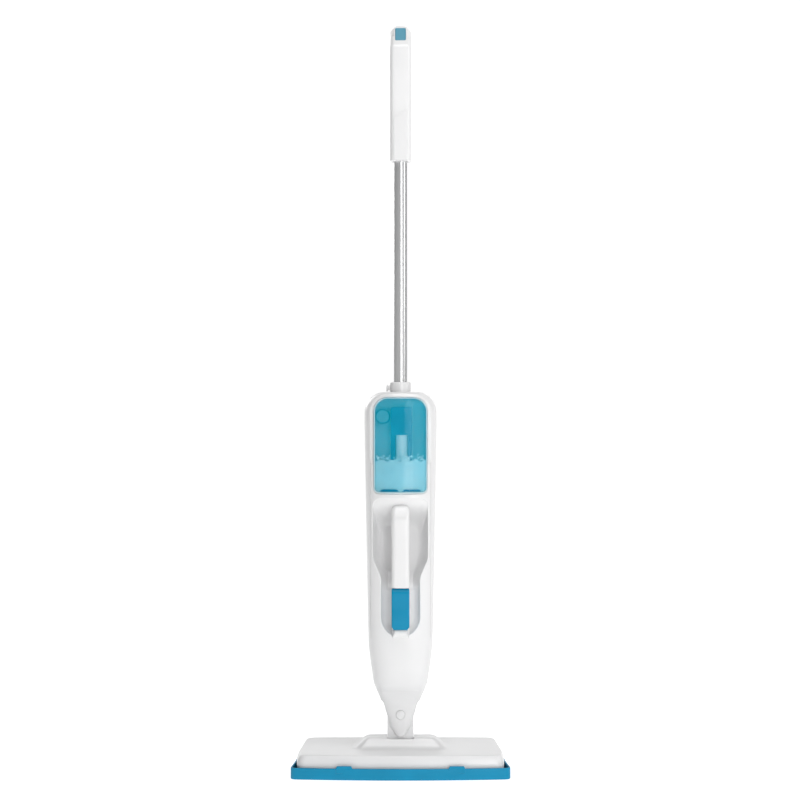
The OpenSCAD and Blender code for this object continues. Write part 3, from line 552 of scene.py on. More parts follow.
def softbox(name, at, aim, size, power):
    lamp = bpy.data.lights.new(name, "AREA")
    lamp.shape, lamp.size, lamp.size_y, lamp.energy = "RECTANGLE", size[0], size[1], power
    obj = bpy.data.objects.new(name, lamp)
    obj.location = at
    obj.rotation_euler = (Vector(aim) - Vector(at)).to_track_quat("-Z", "Y").to_euler()
    bpy.context.scene.collection.objects.link(obj)


softbox("key", (0.95, -3.1, 0.9), (0, 0, 0.3), (0.9, 2.2), 25)
softbox("side", (2.4, -0.9, 1.6), (0, 0, 0.6), (0.8, 1.8), 12)
softbox("low", (0.6, -1.7, 0.3), (0, 0, 0.03), (1.0, 0.3), 2.2)
softbox("top", (0.2, -0.9, 3.2), (0, 0, 0), (1.6, 1.6), 40)
softbox("rear", (-1.6, 2.6, 1.6), (0, 0, 0.6), (1.4, 1.6), 16)

paper = material("studio_paper", (0.6, 0.6, 0.6), 0.9, tone=0.004, tone_size=0.8, bump=0.01,
                 Emission_Color=(1, 1, 1, 1), Emission_Strength=0.78)
reach, bend = 9000, 2200
corner = [(reach - bend * s, bend * c) for s, c in quarter(24)]
backdrop = Part().grid([[(x, y, z) for y, z in [(-reach, 0), *corner, (reach, reach)]]
                        for x in np.linspace(-reach, reach, 5)])
paper_roll = link("studio_paper", backdrop.mesh())
soften(paper_roll.data)
paper_roll.data.materials.append(paper)


# ---------- The body's outer surface ----------

TOP, SHOULDER = 599.0, 32.0  # height of the body's top, and the radius that leads to it
POWER = 2.9  # how square the body's section is: 2 is an ellipse
half_table = smooth_table([(52, 6.5), (54.1, 7.2), (58, 10.4), (64, 14.6), (70, 18.6), (78, 20.6), (94, 26.4),
                           (110, 31), (125, 37.3), (141, 43), (157, 45.4), (173, 47.8), (205, 50.9),
                           (332, 53.4), (460, 55.8), (548, 57.2)])
front_table = smooth_table([(50, 18.6), (78, 18.6), (100, 19), (112, 21), (122, 28), (130, 36), (142, 42),
                            (165, 46), (211, 49), (300, 51), (400, 52), (600, 52)])
back_table = smooth_table([(50, 18.6), (78, 18.6), (113, 19.4), (130, 23), (149, 27), (189, 37), (215, 40),
                           (300, 42), (600, 42)])


def shoulder(z, r):
    """How much the rounded top takes away at a height."""
    k = np.clip(np.asarray(z, float) - TOP + r, 0, r)
    return r - np.sqrt(np.maximum(r * r - k * k, 0))


def half_w(z):
    """Half width of the body."""
    return half_table(z) - shoulder(z, SHOULDER)


def depth(z, side):
    """Distance from the seam's plane to the front (side -1) or to the back (side 1)."""
    return (front_table(z) if side < 0 else back_table(z)) - shoulder(z, 0.75 * SHOULDER)


def skin(angle, z, side, d=0.0):
    """Point of the outside at an angle from the left seam (0) round to the right seam (180)."""
    a, z = np.radians(np.asarray(angle, float)), np.asarray(z, float)
    c, s = np.cos(a), np.sin(a)
    w, y = half_w(z) - d, depth(z, side) - d
    parts = (-w * np.sign(c) * abs(c) ** (2 / POWER), side * y * abs(s) ** (2 / POWER), z)
    return np.stack(np.broadcast_arrays(*parts), -1)


def skin_angle(x, z):
    """Angle of the skin's point that has this x."""
    q = np.clip(abs(x) / half_w(z), 0, 1) ** (POWER / 2)
    return np.degrees(np.arccos(-np.sign(x) * q))


def skin_y(x, z, side):
    """Y of the skin in front of (side -1) or behind (side 1) a point of the seam's plane."""
    return side * depth(z, side) * (1 - np.clip(abs(x) / half_w(z), 0, 1) ** POWER) ** (1 / POWER)


def around(hole, starts, z0, z1, rows):
    """Rings on the front skin from a hole's outline out to the shell's edges.
    The hole's sides start at its lower left, lower right, upper right and upper left corners."""
    n = len(hole)
    ends = starts[1:] + [n]
    edge = [((0, z0), (180, z0)), ((180, z0), (180, z1)), ((180, z1), (0, z1)), ((0, z1), (0, z0))]
    spans = zip(edge, starts, ends)
    target = np.concatenate([np.linspace(a, b, e - s, endpoint=False) for (a, b), s, e in spans])
    start = np.stack([skin_angle(hole[:, 0], hole[:, 1]), hole[:, 1]], 1)
    out = []
    for t in np.sin(np.linspace(0, math.pi / 2, rows)):
        p = start + (target - start) * t
        out.append(skin(*p.T, -1))
    return np.array(out)


def outward_of_body(c):
    return (c[0], c[1], 0)


def outward_of_top(c):
    return (c[0], c[1], max(0, c[2] - TOP + SHOULDER))


SHELL_Z, SKIRT_Z, BAY_Z = 130.0, 200, 437.0  # foot of the front shell, foot of its recess part, and its top
CRADLE_X, CRADLE_Z = 47.4, 487.0  # seam beside the recess, and the seam across the tank's frame
WALL = 2.4

# ---------- Front shell with its hand recess and grip bar ----------


def scoop(foot, knee, top, bend, corner):
    """Outline with a round foot, which widens up to its knee and ends square at the top."""
    right = [(foot, knee[1] - 28), knee, (knee[0], top)]
    left = [(-x, z) for x, z in right[::-1]]
    radii = [bend, bend, corner, corner, bend, bend] + [60] * 21
    return rounded(right + left + arc(foot, FOOT_Z, range(180, 361, 9)), radii)


RIM, FOOT_Z = 2.0, 246  # rounding of the recess's mouth, and where its round foot has its middle
RECESS_Y, SHALLOW = -10.0, 23.0  # depth behind the fingers, and how much less it is behind the button
COUNTS = [72, 90, 72, 90]
mouth, starts = four_sides(scoop(30, (43, 337), 431, 24, 12), (21.2, 224.8), (41, 429), COUNTS)
foot, _ = four_sides(scoop(20, (28, 339), 386, 20, 9), (14.1, 231.9), (27, 385), COUNTS)


def recess_floor(z):
    """Depth of the recess: deep for the fingers, shallow round the button."""
    return RECESS_Y - SHALLOW * (1 - ease(284, 320, z))


front = Part()
outer = offset(mouth, -RIM)
front.grid(around(outer, starts, SKIRT_Z, BAY_Z, 30), closed=True)
bottom = 180 * np.arange(COUNTS[0] + 1) / COUNTS[0]
front.grid([skin(bottom, z, -1) for z in np.linspace(SHELL_Z, SKIRT_Z, 36)])
rings = []
face_y = skin_y(*mouth.T, -1)
for s, c in quarter(6):
    p = offset(mouth, -RIM * s)
    rings.append(on("y", p, skin_y(*p.T, -1) + RIM * c))
ramp = ease(400, 424, mouth[:, 1])
floor_y = recess_floor(foot[:, 1])
for u in np.linspace(0, 1, 16)[1:]:
    t = u * math.pi / 2
    p = mouth + (foot - mouth) * ((1 - ramp) * (1 - math.cos(t)) + ramp * u)[:, None]
    share = (1 - ramp) * math.sin(t) + ramp * u * u * (3 - 2 * u)
    rings.append(on("y", p, face_y + RIM + (floor_y - face_y - RIM) * share))
floor = patch(rings[-1][:, [0, 2]], COUNTS[0], COUNTS[1])
front.grid(rings, closed=True).grid([on("y", row, recess_floor(row[:, 1])) for row in floor])


def frame_section(a, b, half, r):
    """Rounded rectangle about the line from a to b in Y and Z, half wide each way along X."""
    a, b = np.array(a, float), np.array(b, float)
    length = np.linalg.norm(b - a)
    u = (b - a) / length
    out = []
    for cx, cl, a0 in ((half - r[0], r[0], 270), (half - r[1], length - r[1], 0),
                       (-half + r[1], length - r[1], 90), (-half + r[0], r[0], 180)):
        rr = r[0] if cl == r[0] else r[1]
        for t in np.radians(np.linspace(a0, a0 + 90, 6)):
            x, s = cx + rr * math.cos(t), cl + rr * math.sin(t)
            out.append([x, *(a + u * s)])
    return np.array(out)


BAR = 14.0  # half width of the grip bar
# each row is a section of the bar: front and back point in Y and Z, then how much narrower it is
BAR_FRONT, BAR_BACK = -62, -34
bar_rows = [(-60.6, 292.6, -35.4, 292.6, 1.2), (-61.6, 293.1, -34.4, 293.1, 0.4)]
bar_rows += [(BAR_FRONT, z, BAR_BACK, z, 0) for z in (294.2, 310, 340, 372, 396)]
bar_rows += [(-61.8, 400.5, BAR_BACK, 401, 0), (-61, 403.3, -33.6, 404.5, 0), (-59.6, 405.8, -32.8, 407.5, 0),
             (-57.4, 409.6, -31.4, 410, 0), (-55.2, 413.5, -28, 412.5, 0.3), (-53, 416.8, -22, 415, 1.1),
             (-50.6, 419.2, -18, 418, 2.5), (-48, 420.8, -14, 420, 4.4), (-45, 421.8, -11, 421, 7.2)]
bar = Part()
bar.tube([frame_section(row[:2], row[2:4], BAR - row[4], (6.5, 5.5)) for row in bar_rows])
pillar = [((-46, 219), (-8, 219)), ((-46, 255), (-8, 255)), ((-46, 292.8), (-8, 299))]
bar.tube([frame_section(a, b, BAR - 0.3, (1.5, 1.5)) for a, b in pillar])
ledge = [((-8, 212), (-30, 212)), ((-44.5, 211.4), (-30, 224)), ((-51.5, 215.2), (-46, 225.6)),
         ((-54, 217), (-50, 226.2)), ((-56.6, 219), (-53.6, 226.6)), ((-57.8, 222.4), (-56.4, 226.8))]
sill = Part()
sill.tube([frame_section(a, b, w, (1.2, 1.2)) for (a, b), w in zip(ledge, (14, 13.6, 12.6, 11.8, 10.6, 9))])

level(piece("front_shell", front, white, "body", ["body_front_shell"], outward=outward_of_body, wall=WALL,
            seams=[(0, CRADLE_X, 210, BAY_Z + 1)]))
level(piece("grip_bar", bar, white, "body", ["body_front_shell"]))
level(piece("button_sill", sill, white, "body", ["body_front_shell"]))


# ---------- Tank frame ----------

TANK_HALF, TANK_LOW, TANK_TOP, TANK_BACK = 42.0, 440.0, 590.0, -20.0
TANK_R_LOW, TANK_R_TOP, TANK_WALL = 9, 22, 2.2
TANK_FRONT, TANK_BOW = -55, 10  # middle of the front face, and how far back its sides are
FILLER = (-28, 0, 560)
gap, CORNER = 0.4, 1.5  # air round the tank, and the radius at the back of its bay
CROWN_Z = TOP - 0.02


def tank_outline(grow, step=3.0):
    h = TANK_HALF + grow
    radii = [TANK_R_LOW + grow] * 2 + [TANK_R_TOP + grow] * 2
    return oblong(-h, TANK_LOW - grow, h, TANK_TOP + grow, radii, step)


WINDOW_COUNTS = [60, 90, 60, 90]
window, window_starts = four_sides(tank_outline(gap), (39.4, 442.3), (35.6, 583.6), WINDOW_COUNTS)
bezel = 1.5 + 4.2 * ease(CRADLE_Z - 6, CRADLE_Z + 10, window[:, 1])
hood = Part()
rim = offset(window, -bezel)
hood.grid(around(rim, window_starts, BAY_Z, CROWN_Z, 22), closed=True)
rings = []
for share, drop in ((1, 0), (0.94, 0.06), (0.82, 0.22), (0.2, 0.86), (0.06, 1.05), (0, 1.3)):
    p = offset(window, -bezel * share)
    rings.append(on("y", p, skin_y(*p.T, -1) + bezel * 0.6 * drop))
brink = rings[-1][:, 1]
for y in np.linspace(0, 1, 8)[1:]:
    rings.append(on("y", window, brink + (TANK_BACK + gap - CORNER - brink) * y))
for s, c in quarter(4)[1:]:
    rings.append(on("y", offset(window, CORNER * c), TANK_BACK + gap - CORNER * s))
hood.grid(rings, closed=True).face(rings[-1])
hood.face(skin(np.linspace(0, 180, WINDOW_COUNTS[2] + 1), CROWN_Z, -1))
cradle_seams = [(2, CRADLE_Z, TANK_HALF + gap + 0.05, CRADLE_X + SEAM / 2),
                (0, CRADLE_X, BAY_Z - 1, CRADLE_Z)]
level(piece("tank_frame_shell", hood, white, "body", ["tank_frame"], outward=outward_of_top, wall=WALL,
            seams=cradle_seams))


# ---------- Rear shell ----------

DOME_Z = 566
rear = Part()
domed = TOP - SHOULDER + SHOULDER * np.sin(np.linspace(0.02, math.pi / 2 - 0.03, 20))
heights = np.concatenate([np.linspace(SHELL_Z, DOME_Z, 90), domed])
angles = np.linspace(0, 180, 121)
rear.grid([skin(angles, z, 1) for z in heights])
rear.face(skin(angles, heights[-1], 1))
rear_obj = piece("rear_shell", rear, white, "body", ["body_rear_shell"], outward=outward_of_top, wall=WALL)
BOSSES = [(-46, 226), (46, 226), (-50, 420), (50, 420)]
BOSS_R, WELL_R, SCREW_R = 5, 3.6, 1.6
holes, cups = Part(), Part()
for x, z in BOSSES:
    rod(WELL_R, 13.9, 60, (x, 0, z), "y", part=holes)
    edge = float(skin_y(np.array(x), z, 1)) - 1.0
    lathe([(SCREW_R, 12), (BOSS_R, 12), (BOSS_R, edge), (WELL_R, edge), (WELL_R, 14.1), (SCREW_R, 14.1)],
          (x, 0, z), "y", 48, cups)
combine(rear_obj, holes)
level(rear_obj)
bosses = piece("screw_bosses", cups, white, "body", ["body_rear_shell"])
inside = Part().tube([skin(angles, z, 1, 0.5) for z in np.linspace(SHELL_Z, 560, 60)])
level(combine(bosses, inside, operation="INTERSECT"))
# A thin black cord sunk along each side seam of the rear shell: painted shade of the gap between the shells.
seam = Part()
for angle in (0, 180):
    sweep([skin(angle, z, 1, 0.35) for z in np.linspace(131, DOME_Z, 80)], 0.42, 8, seam)
piece("seam_shade_cord", seam, rubber, "body")


# ---------- Neck ----------

FORK, SWIVEL_Z, TILT_Z = 12.6, 89, 46  # half width of the fork's slot, and the heights of the two pins
NECK_POINTS = 73
neck = Part()
full = np.concatenate([np.linspace(0, 180, NECK_POINTS), np.linspace(180, 0, NECK_POINTS)[1:-1]])
sides = np.array([-1] * NECK_POINTS + [1] * (NECK_POINTS - 2))


def neck_ring(z, d=0.0):
    return np.where(sides[:, None] < 0, skin(full, z, -1, d), skin(full, z, 1, d))


foot_ring = [neck_ring(54.3, 0.8), neck_ring(54.6, 0.3), neck_ring(55.2)]
top_ring = [neck_ring(SHELL_Z - 0.2), neck_ring(SHELL_Z - 0.05, 0.2)]
neck.tube(foot_ring + [neck_ring(z) for z in np.linspace(56.5, SHELL_Z - 0.8, 56)] + top_ring)
neck_obj = piece("neck_housing_shell", neck, white, "body", ["neck_housing"])
fork = oblong(-FORK, 30, FORK, 110.2, [0.1, 0.1, 4, 4])
combine(neck_obj, Part().tube([on("x", fork, -70), on("x", fork, 70)]), block((-70, 5, 40), (70, 60, 75)),
        rod(7.5, -30, -17, (0, 0, SWIVEL_Z), "y"))
level(neck_obj)
SPIGOT_LOW, SPIGOT_HIGH = 128, 137.6
ring_in, ring_out = neck_ring(SHELL_Z, 3.1)[:, :2], neck_ring(SHELL_Z, 5.6)[:, :2]
path = ((ring_in, SPIGOT_LOW), (ring_in, SPIGOT_HIGH), (ring_out, SPIGOT_HIGH), (ring_out, SPIGOT_LOW))
spigot = Part().hoop([on("z", ring, z) for ring, z in path])
piece("neck_spigot", spigot, white, "body", ["neck_housing"])

cap = lathe([(0.01, -17.2), (7.2, -17.2), (7.2, -19.3), (6.6, -19.9), (4.5, -20.3), (0.01, -20.4)],
            (0, 0, SWIVEL_Z), "y", 64)
piece("swivel_cap", cap, white, "body")

KNUCKLE, HUB = 20.6, 13.4  # radius of the block about the upper pin, and about the lower one
knuckle = slab(rounded(arc(KNUCKLE, SWIVEL_Z, range(0, 181, 6)) + [(-KNUCKLE, TILT_Z), (KNUCKLE, TILT_Z)],
                       [30] * 31 + [0.2, 0.2]), -12.3, 12.3, "y", 1.6)
knuckle_obj = piece("knuckle_block", knuckle, white, "knuckle", ["knuckle"])
hub = np.array(arc(HUB, TILT_Z, range(0, 360, 5)))
combine(knuckle_obj, slab(hub, 0.1 - KNUCKLE, KNUCKLE - 0.1, "x", 0.8), operation="UNION")
tilt_bore, swivel_bore = rod(4, -30, 30, (0, 0, TILT_Z), "x"), rod(5.05, -30, 30, (0, 0, SWIVEL_Z), "y")
combine(knuckle_obj, tilt_bore, swivel_bore, slab(oblong(-12, 62, 12, 78, 3), -20, 8, "y", 0.5))
level(knuckle_obj)


# ---------- Mop head ----------

# half widths at the front, the middle and the back, where front and back are, their bow, the corner radius
GLIDER_PLAN = (171, 166, 160, -95, 95, 10, 9)
COVER_PLAN = (160, 163, 156, -87, 89, 8, 16)


def plan(front_w, mid_w, back_w, front_y, back_y, bow, r, d=0.0, step=4.0):
    """Outline of the head seen from above. d moves it inward."""
    w1, w2, w3, f, b = front_w - d, mid_w - d, back_w - d, front_y + d, back_y - d
    line = [(x * w1, f + bow * x * x) for x in np.linspace(-1, 1, 15)]
    back = [(x * w3, b - bow / 3 * x * x) for x in np.linspace(1, -1, 13)]
    near, far, side_y = max(r - d, 1.5), max(r * 1.5 - d, 1.5), front_y * 0.35
    radii = [near] + [200] * 13 + [near, 60, far] + [200] * 11 + [far, 60]
    return rounded(line + [(w2, side_y)] + back + [(-w2, side_y)], radii, step)


def even(outline, n=420, middle=0):
    """The outline resampled to n points, starting where it crosses x = 0 below the middle."""
    k = int(np.argmin(abs(outline[:, 0]) + (outline[:, 1] > middle) * 1e3))
    line = np.roll(outline, -k, 0)
    return resample(np.concatenate([line, line[:1]]), n + 1)[:-1]


def glider_ring(d):
    return even(plan(*GLIDER_PLAN, d))


def cover_ring(d):
    return even(plan(*COVER_PLAN, d))


GLIDER_H, TAB_H = 18.2, 22.0
tray = Part()
profile = [(2.2, 0), (1.2, 0.2), (0.4, 0.7), (0, 1.6), (0, 8), (0, GLIDER_H - 1), (0.25, GLIDER_H - 0.3),
           (0.9, GLIDER_H), (1.6, GLIDER_H), (2.15, GLIDER_H - 0.3), (2.4, GLIDER_H - 1), (2.4, 4.4),
           (2.9, 2.9), (4.2, 2.4)]
tray.tube([on("z", glider_ring(d), z) for d, z in profile])
tray_obj = piece("glider_tray", tray, blue, "glider", ["carpet_glider"])
vents = Part()
VENT_PITCH, VENT_HALF, VENT_LONG = 31, 4, 50
for x in np.arange(-4, 5) * VENT_PITCH:
    for y in (-58, 8):
        slot = oblong(x - VENT_HALF, y, x + VENT_HALF, y + VENT_LONG, 3.9)
        slab(slot, -1, 5, "z", 0.01, 1, part=vents)
combine(tray_obj, vents)
level(tray_obj)
tabs = Part()
TAB_X, TAB_HALF, TAB_TIP = 87, 12.5, 10.8
for s in SIDES:
    x, y = s * TAB_X, GLIDER_PLAN[3] + GLIDER_PLAN[5] * (TAB_X / GLIDER_PLAN[0]) ** 2
    shape = rounded([(x - TAB_HALF, 11), (x + TAB_HALF, 11), (x + TAB_HALF, GLIDER_H + 0.6),
                     (x + TAB_TIP, TAB_H), (x - TAB_TIP, TAB_H), (x - TAB_HALF, GLIDER_H + 0.6)],
                    [0.5, 0.5, 1.5, 1.2, 1.2, 1.5], 1.5)
    slab(shape, y + 0.15, y + 2.5, "y", 0.6, 3, part=tabs)
level(piece("glider_tabs", tabs, blue, "glider", ["carpet_glider"]))

COVER_TOP = 36.5


def pod_ring(z, half, front, back, r):
    return on("z", even(oblong(-half, front, half, back, r, 2.0)), z)


cover = Part()
profile = [(2.6, 11.2), (1.4, 11.25), (0.4, 11.6), (0, 12.4), (0, 17), (0, 21), (0.4, 24.5), (1.0, 27.5),
           (1.9, 30.4), (3.1, 33.1), (4.1, 34.8), (4.8, 35.5), (5.8, 35.95), (7.5, 36.2),
           (12, COVER_TOP - 0.1), (26, COVER_TOP)]
rings = [on("z", cover_ring(d), z) for d, z in profile]
last, base = rings[-1], pod_ring(COVER_TOP + 0.4, 79, -39, 34, 15)
rings += [last + (base - last) * t for t in (0.3, 0.6, 0.85, 1)]
pod = [(COVER_TOP + 1, 75, -34, 28, 13), (39, 71.5, -30.5, 24.6, 11.5), (42, 67.2, -27, 21, 10),
       (46, 62.8, -24, 18, 9), (49.4, 59, -21.5, 16.6, 8), (51.6, 55.6, -19.6, 15.4, 7.5),
       (52.7, 52.4, -17.8, 14.4, 7), (53, 49, -15.5, 12.6, 6.5)]
rings += [pod_ring(*row) for row in pod]
cover.tube(rings)
cover_obj = piece("head_cover_shell", cover, white, "head", ["head_cover"])
inside = [(2.9, 10), (2.9, 14), (2.9, 22), (4.2, 27), (7, 31), (10.4, 33.4)]
hollow = Part().tube([on("z", cover_ring(d), z) for d, z in inside])
EAR_IN = KNUCKLE + 0.6
combine(cover_obj, hollow, rod(13.9, -EAR_IN, EAR_IN, (0, 0, TILT_Z), "x"),
        block((-EAR_IN, -13.9, TILT_Z), (EAR_IN, 13.9, 60)),
        block((-EAR_IN, 0, COVER_TOP + 0.4), (EAR_IN, 45, 60)),
        block((-EAR_IN, -40, 50.6), (EAR_IN, 1, 60)),
        rod(6.6, -38, 38, (0, 0, TILT_Z), "x"))
level(cover_obj)


def pad_edges(d):
    """Front and back edges of the pad, each from its left end to its right."""
    return halves(plan(*COVER_PLAN, 3.0 + d, 2.0), 221)


def pad_shape(d):
    near, far = pad_edges(d)
    return np.concatenate([near[:-1], far[:0:-1]])


CHANNEL_PITCH, CHANNEL_DEPTH = 21.5, 0.9
pad = Part()
profile = [(5.0, 3.1), (2.6, 2.95), (1.0, 3.6), (0.2, 4.9), (0, 6.4), (0.2, 7.9), (1.0, 9.2), (2.6, 9.9),
           (5.0, 9.8)]
rings = [on("z", pad_shape(d), z) for d, z in profile]


def sewn(x, z, low):
    """Height of the quilted face, drawn in along its sewn channels."""
    dip = np.exp(-(((x / CHANNEL_PITCH + 0.5) % 1 - 0.5) / 0.07) ** 2)
    return z + (CHANNEL_DEPTH if low else -CHANNEL_DEPTH) * dip


pad.grid(rings, closed=True)
for (d, z), low in ((profile[0], True), (profile[-1], False)):
    near, far = pad_edges(d)
    rows = []
    for t in np.linspace(0, 1, 60):
        p = near + (far - near) * t
        rise = 1 - ease(0, 0.03, min(t, 1 - t)) if 0 < t < 1 else 1
        height = z + (sewn(p[:, 0], z, low) - z) * (1 - rise)
        height[[0, -1]] = z
        rows.append(on("z", p, height))
    pad.grid(rows)
pad_obj = piece("mop_pad_cloth", pad, microfibre, "head", ["mop_pad"])
HEM_HALF = 2.9
hem = Part()
line = on("z", pad_shape(0.6), 6.4)
inward = offset(line[:, :2], 1) - line[:, :2]
rows = [np.concatenate([line[:, :2] - inward * out, (line[:, 2] + up * HEM_HALF)[:, None]], 1)
        for out, up in circle(12)]
hem.hoop(rows)
piece("mop_pad_binding", hem, binding, "head")


# ---------- Water tank ----------


def tank_front(x, z, d=0.0):
    return TANK_FRONT + d + TANK_BOW * (x / TANK_HALF) ** 2 + 0.5 * np.maximum(0, z - TANK_TOP + 8) ** 1.4


def tank_surface(d):
    """Closed outside of the tank, or its inside when d is the wall."""
    out = even(tank_outline(-d, 2.5), 220, 500)
    back = TANK_BACK - d
    r = 1.4 if d == 0 else 0.8
    rings = []
    for s, c in quarter(5):
        rings.append(on("y", offset(out, r * s), back - r * c))
    edge = tank_front(*out.T, d) + r
    for t in np.linspace(0, 1, 8)[1:]:
        rings.append(on("y", out, back - r + (edge - back + r) * t))
    for s, c in quarter(6)[1:]:
        p = offset(out, r * c)
        rings.append(on("y", p, tank_front(*p.T, d) + r * s))
    rim, middle = rings[-1][:, [0, 2]], np.array([0, 515.0])
    for t in np.linspace(0, 0.97, 26)[1:]:
        p = rim + (middle - rim) * t
        rings.append(on("y", p, tank_front(*p.T, d)))
    return Part().tube(rings)


piece("tank_shell_clear", tank_surface(0), tank_tint, "tank", ["tank_shell"], inner=tank_surface(TANK_WALL))
collar = lathe([(10.06, -29), (12, -29), (12, -20.4), (10.06, -20.4)], FILLER, "y", 64)
level(piece("filler_collar", collar, tank_tint, "tank", ["tank_shell"]))

FILL_Z, WATER_GAP = 491.0, 0.25
WATER_MIDDLE = np.array([0, -38.0])


def water_ring(z, shrink=1.0, rise=0.0):
    d = TANK_WALL + WATER_GAP
    r = TANK_R_LOW
    lower = max(0.0, TANK_LOW + r - z)
    w = TANK_HALF - d
    if lower > 0:
        w -= r - math.sqrt(max(0.0, (r - d) ** 2 - lower**2)) - d
    x = np.linspace(-1, 1, 61) * w
    front = np.stack([x, tank_front(x, z, d)], 1)
    y = TANK_BACK - d
    back = [(w, y - CORNER), (w - CORNER, y), (0, y), (-w + CORNER, y), (-w, y - CORNER)]
    ring = resample(np.concatenate([front, back, front[:1]]), 161)[:-1]
    ring = WATER_MIDDLE + (ring - WATER_MIDDLE) * shrink
    x, y = ring.T
    ripple = 2.4 * abs(np.sin(x / 5.6 + 0.4)) - 1.2 + 1.1 * np.sin(x / 2.1 + y / 7) * np.sin(x / 9 + 1)
    return on("z", ring, z + rise * ripple)


water = Part()
rings = [water_ring(z) for z in np.concatenate([np.linspace(442.5, 449, 8), np.linspace(452, FILL_Z - 4, 8)])]
rings += [water_ring(FILL_Z, 1, 1.0)] + [water_ring(FILL_Z, s, 1.0) for s in np.linspace(0.97, 0.05, 14)]
water.tube(rings)
FLATNESS = 0.45
drops = Part()
rng = np.random.default_rng(7)
for _ in range(70):
    x = rng.uniform(-37, 37)
    z = FILL_Z + 1 + abs(rng.normal(0, 4.5))
    r = rng.uniform(0.6, 1.9)
    y = tank_front(x, z, TANK_WALL) + 0.1
    drops.tube([on("y", (x, z) + r * math.sin(t) * circle(10), y + r * FLATNESS * (1 - math.cos(t)))
                for t in np.linspace(0.05, math.pi - 0.05, 7)])
piece("tank_water", water, water_tint, "tank")
piece("water_drops", drops, water_tint, "tank")

# A whitish ring round the tank's front edge: painted highlight, the light rim the edge shows in place of
# shade.
line = tank_outline(0, 2.5)
edge_highlight = Part()
HIGHLIGHT_R = 0.9
rows = [on("y", offset(line, HIGHLIGHT_R * (1.05 + c)), tank_front(*line.T) + HIGHLIGHT_R * (0.9 + s))
        for c, s in circle(12)]
edge_highlight.hoop(rows)
level(piece("tank_front_edge_highlight", edge_highlight, clear, "tank", ["tank_shell"]))
ribs = Part()
for side in SIDES:
    near, far = side * 2.2, side * 33
    rib = rounded([(near, 442.9), (far, 442.9), (side * 29, 446.4), (side * 6, 446.4)], [0.4, 0.8, 5, 5], 1.2)
    slab(rib, -54.8, -53.2, "y", 0.3, part=ribs)
ribs.points = [(x, y + TANK_BOW * (x / TANK_HALF) ** 2, z) for x, y, z in ribs.points]
level(piece("tank_foot_ribs", ribs, filter_blue, "tank", ["tank_shell"]))
filter_part = slab(oblong(-15, 531, 18, 575, 3, 1.5), -42, -22.4, "y", 1.2)
filter_obj = piece("filter_block", filter_part, filter_blue, "tank", ["filter_housing"])
combine(filter_obj, rod(6, 525, 536, (1.5, -33, 0)))
level(filter_obj)
guides = Part()
for x in (-15, 11.2):
    slab(oblong(x, 492, x + 6.8, 532, [1.5, 1.5, 0.2, 0.2], 1.5), -36, -30, "y", 0.6, part=guides)
level(piece("filter_guides", guides, filter_blue, "tank", ["filter_housing"]))


# ---------- Collar and tube ----------

socket = lathe([(11.15, 505), (11.15, 612.4), (11.5, 613.6), (12.4, 614.5), (14.6, 614.6), (15.7, 614.2),
                (16.3, 613.3), (16.5, 612), (16.5, 472), (16, 470.4), (13.6, 470), (13.6, 504), (12, 505)])
socket_obj = piece("tube_collar", socket, white, "body", ["pole_socket"])
combine(socket_obj, block((-30, -3.4, 600.6), (-9, 3.4, 609.4)))
level(socket_obj)
tube = lathe([(10.2, 522), (10.8, 522), (11, 522.3), (11, 1045.7), (10.8, 1046), (10.2, 1046), (10, 1045.7),
              (10, 522.3)])
piece("steel_tube", tube, steel, "pole", ["pole_tube"])


# ---------- Handle ----------

HANDLE, BEVEL = 16.5, 0.65  # half width, and how nearly straight the chamfer of its rim is
H_LOW, H_TOP = 964.0, 1182.0
side_corners = [(-19, H_LOW - 14), (19, H_LOW - 14), (19, 1042), (38, 1062), (46, 1090), (46, H_TOP - 24),
                (38, H_TOP - 7), (22, H_TOP), (10, H_TOP), (3, H_TOP - 2.5), (-34, H_TOP - 39.5), (-34, 1108),
                (-19, 1040)]
side_radii = [0.6, 0.6, 18, 24, 22, 14, 14, 14, 14, 14, 7, 30, 34]
handle_out = rounded(side_corners, side_radii, 2.5)
handle_hole = rounded([(-4, 1052), (20, 1064), (27, 1090), (27, H_TOP - 40), (20, H_TOP - 29),
                       (2, H_TOP - 29), (-13, H_TOP - 44), (-13, 1108)], [9, 12, 16, 9, 9, 10, 10, 20], 2.5)
SLOPE = (-12.2, H_TOP - 17.7)  # middle of the sloping top
POCKET = (8.7, 34.0)  # half width and length of the button's pocket
TILT = math.radians(45)


def handle_rings(outline, inward, side):
    """Rings from the seam in the middle out to the rounded flank, rounder at the top of the handle."""
    top = ease(1160, 1181, outline[:, 1])
    across, down = 4.6 + 5.4 * top, 5.4 + 4.2 * top
    flat = ((0, 0.4), (0.25, 0.1), (0.5, 0), (4, 0))
    rings = [on("x", offset(outline, inward * d), side * x) for x, d in flat]
    for t in np.linspace(0, math.pi / 2, 10):
        out = BEVEL * t / (math.pi / 2) + (1 - BEVEL) * math.sin(t)
        drop = BEVEL * t / (math.pi / 2) + (1 - BEVEL) * (1 - math.cos(t))
        rings.append(on("x", offset(outline, inward * down * drop), side * (HANDLE - across * (1 - out))))
    return rings


def on_slope(point):
    """A point given across, up the slope and out of it, put on the handle's sloping top."""
    x, u, w = point
    c, s = math.cos(TILT), math.sin(TILT)
    return (x, SLOPE[0] + u * c - w * s, SLOPE[1] + u * s + w * c)


def slope_slab(half, length, low, high, r, edge):
    """Rounded block that stands square to the slope."""
    part = slab(oblong(-half, -length / 2, half, length / 2, r, 1.2), low, high, "z", edge)
    part.points = [on_slope(p) for p in part.points]
    return part


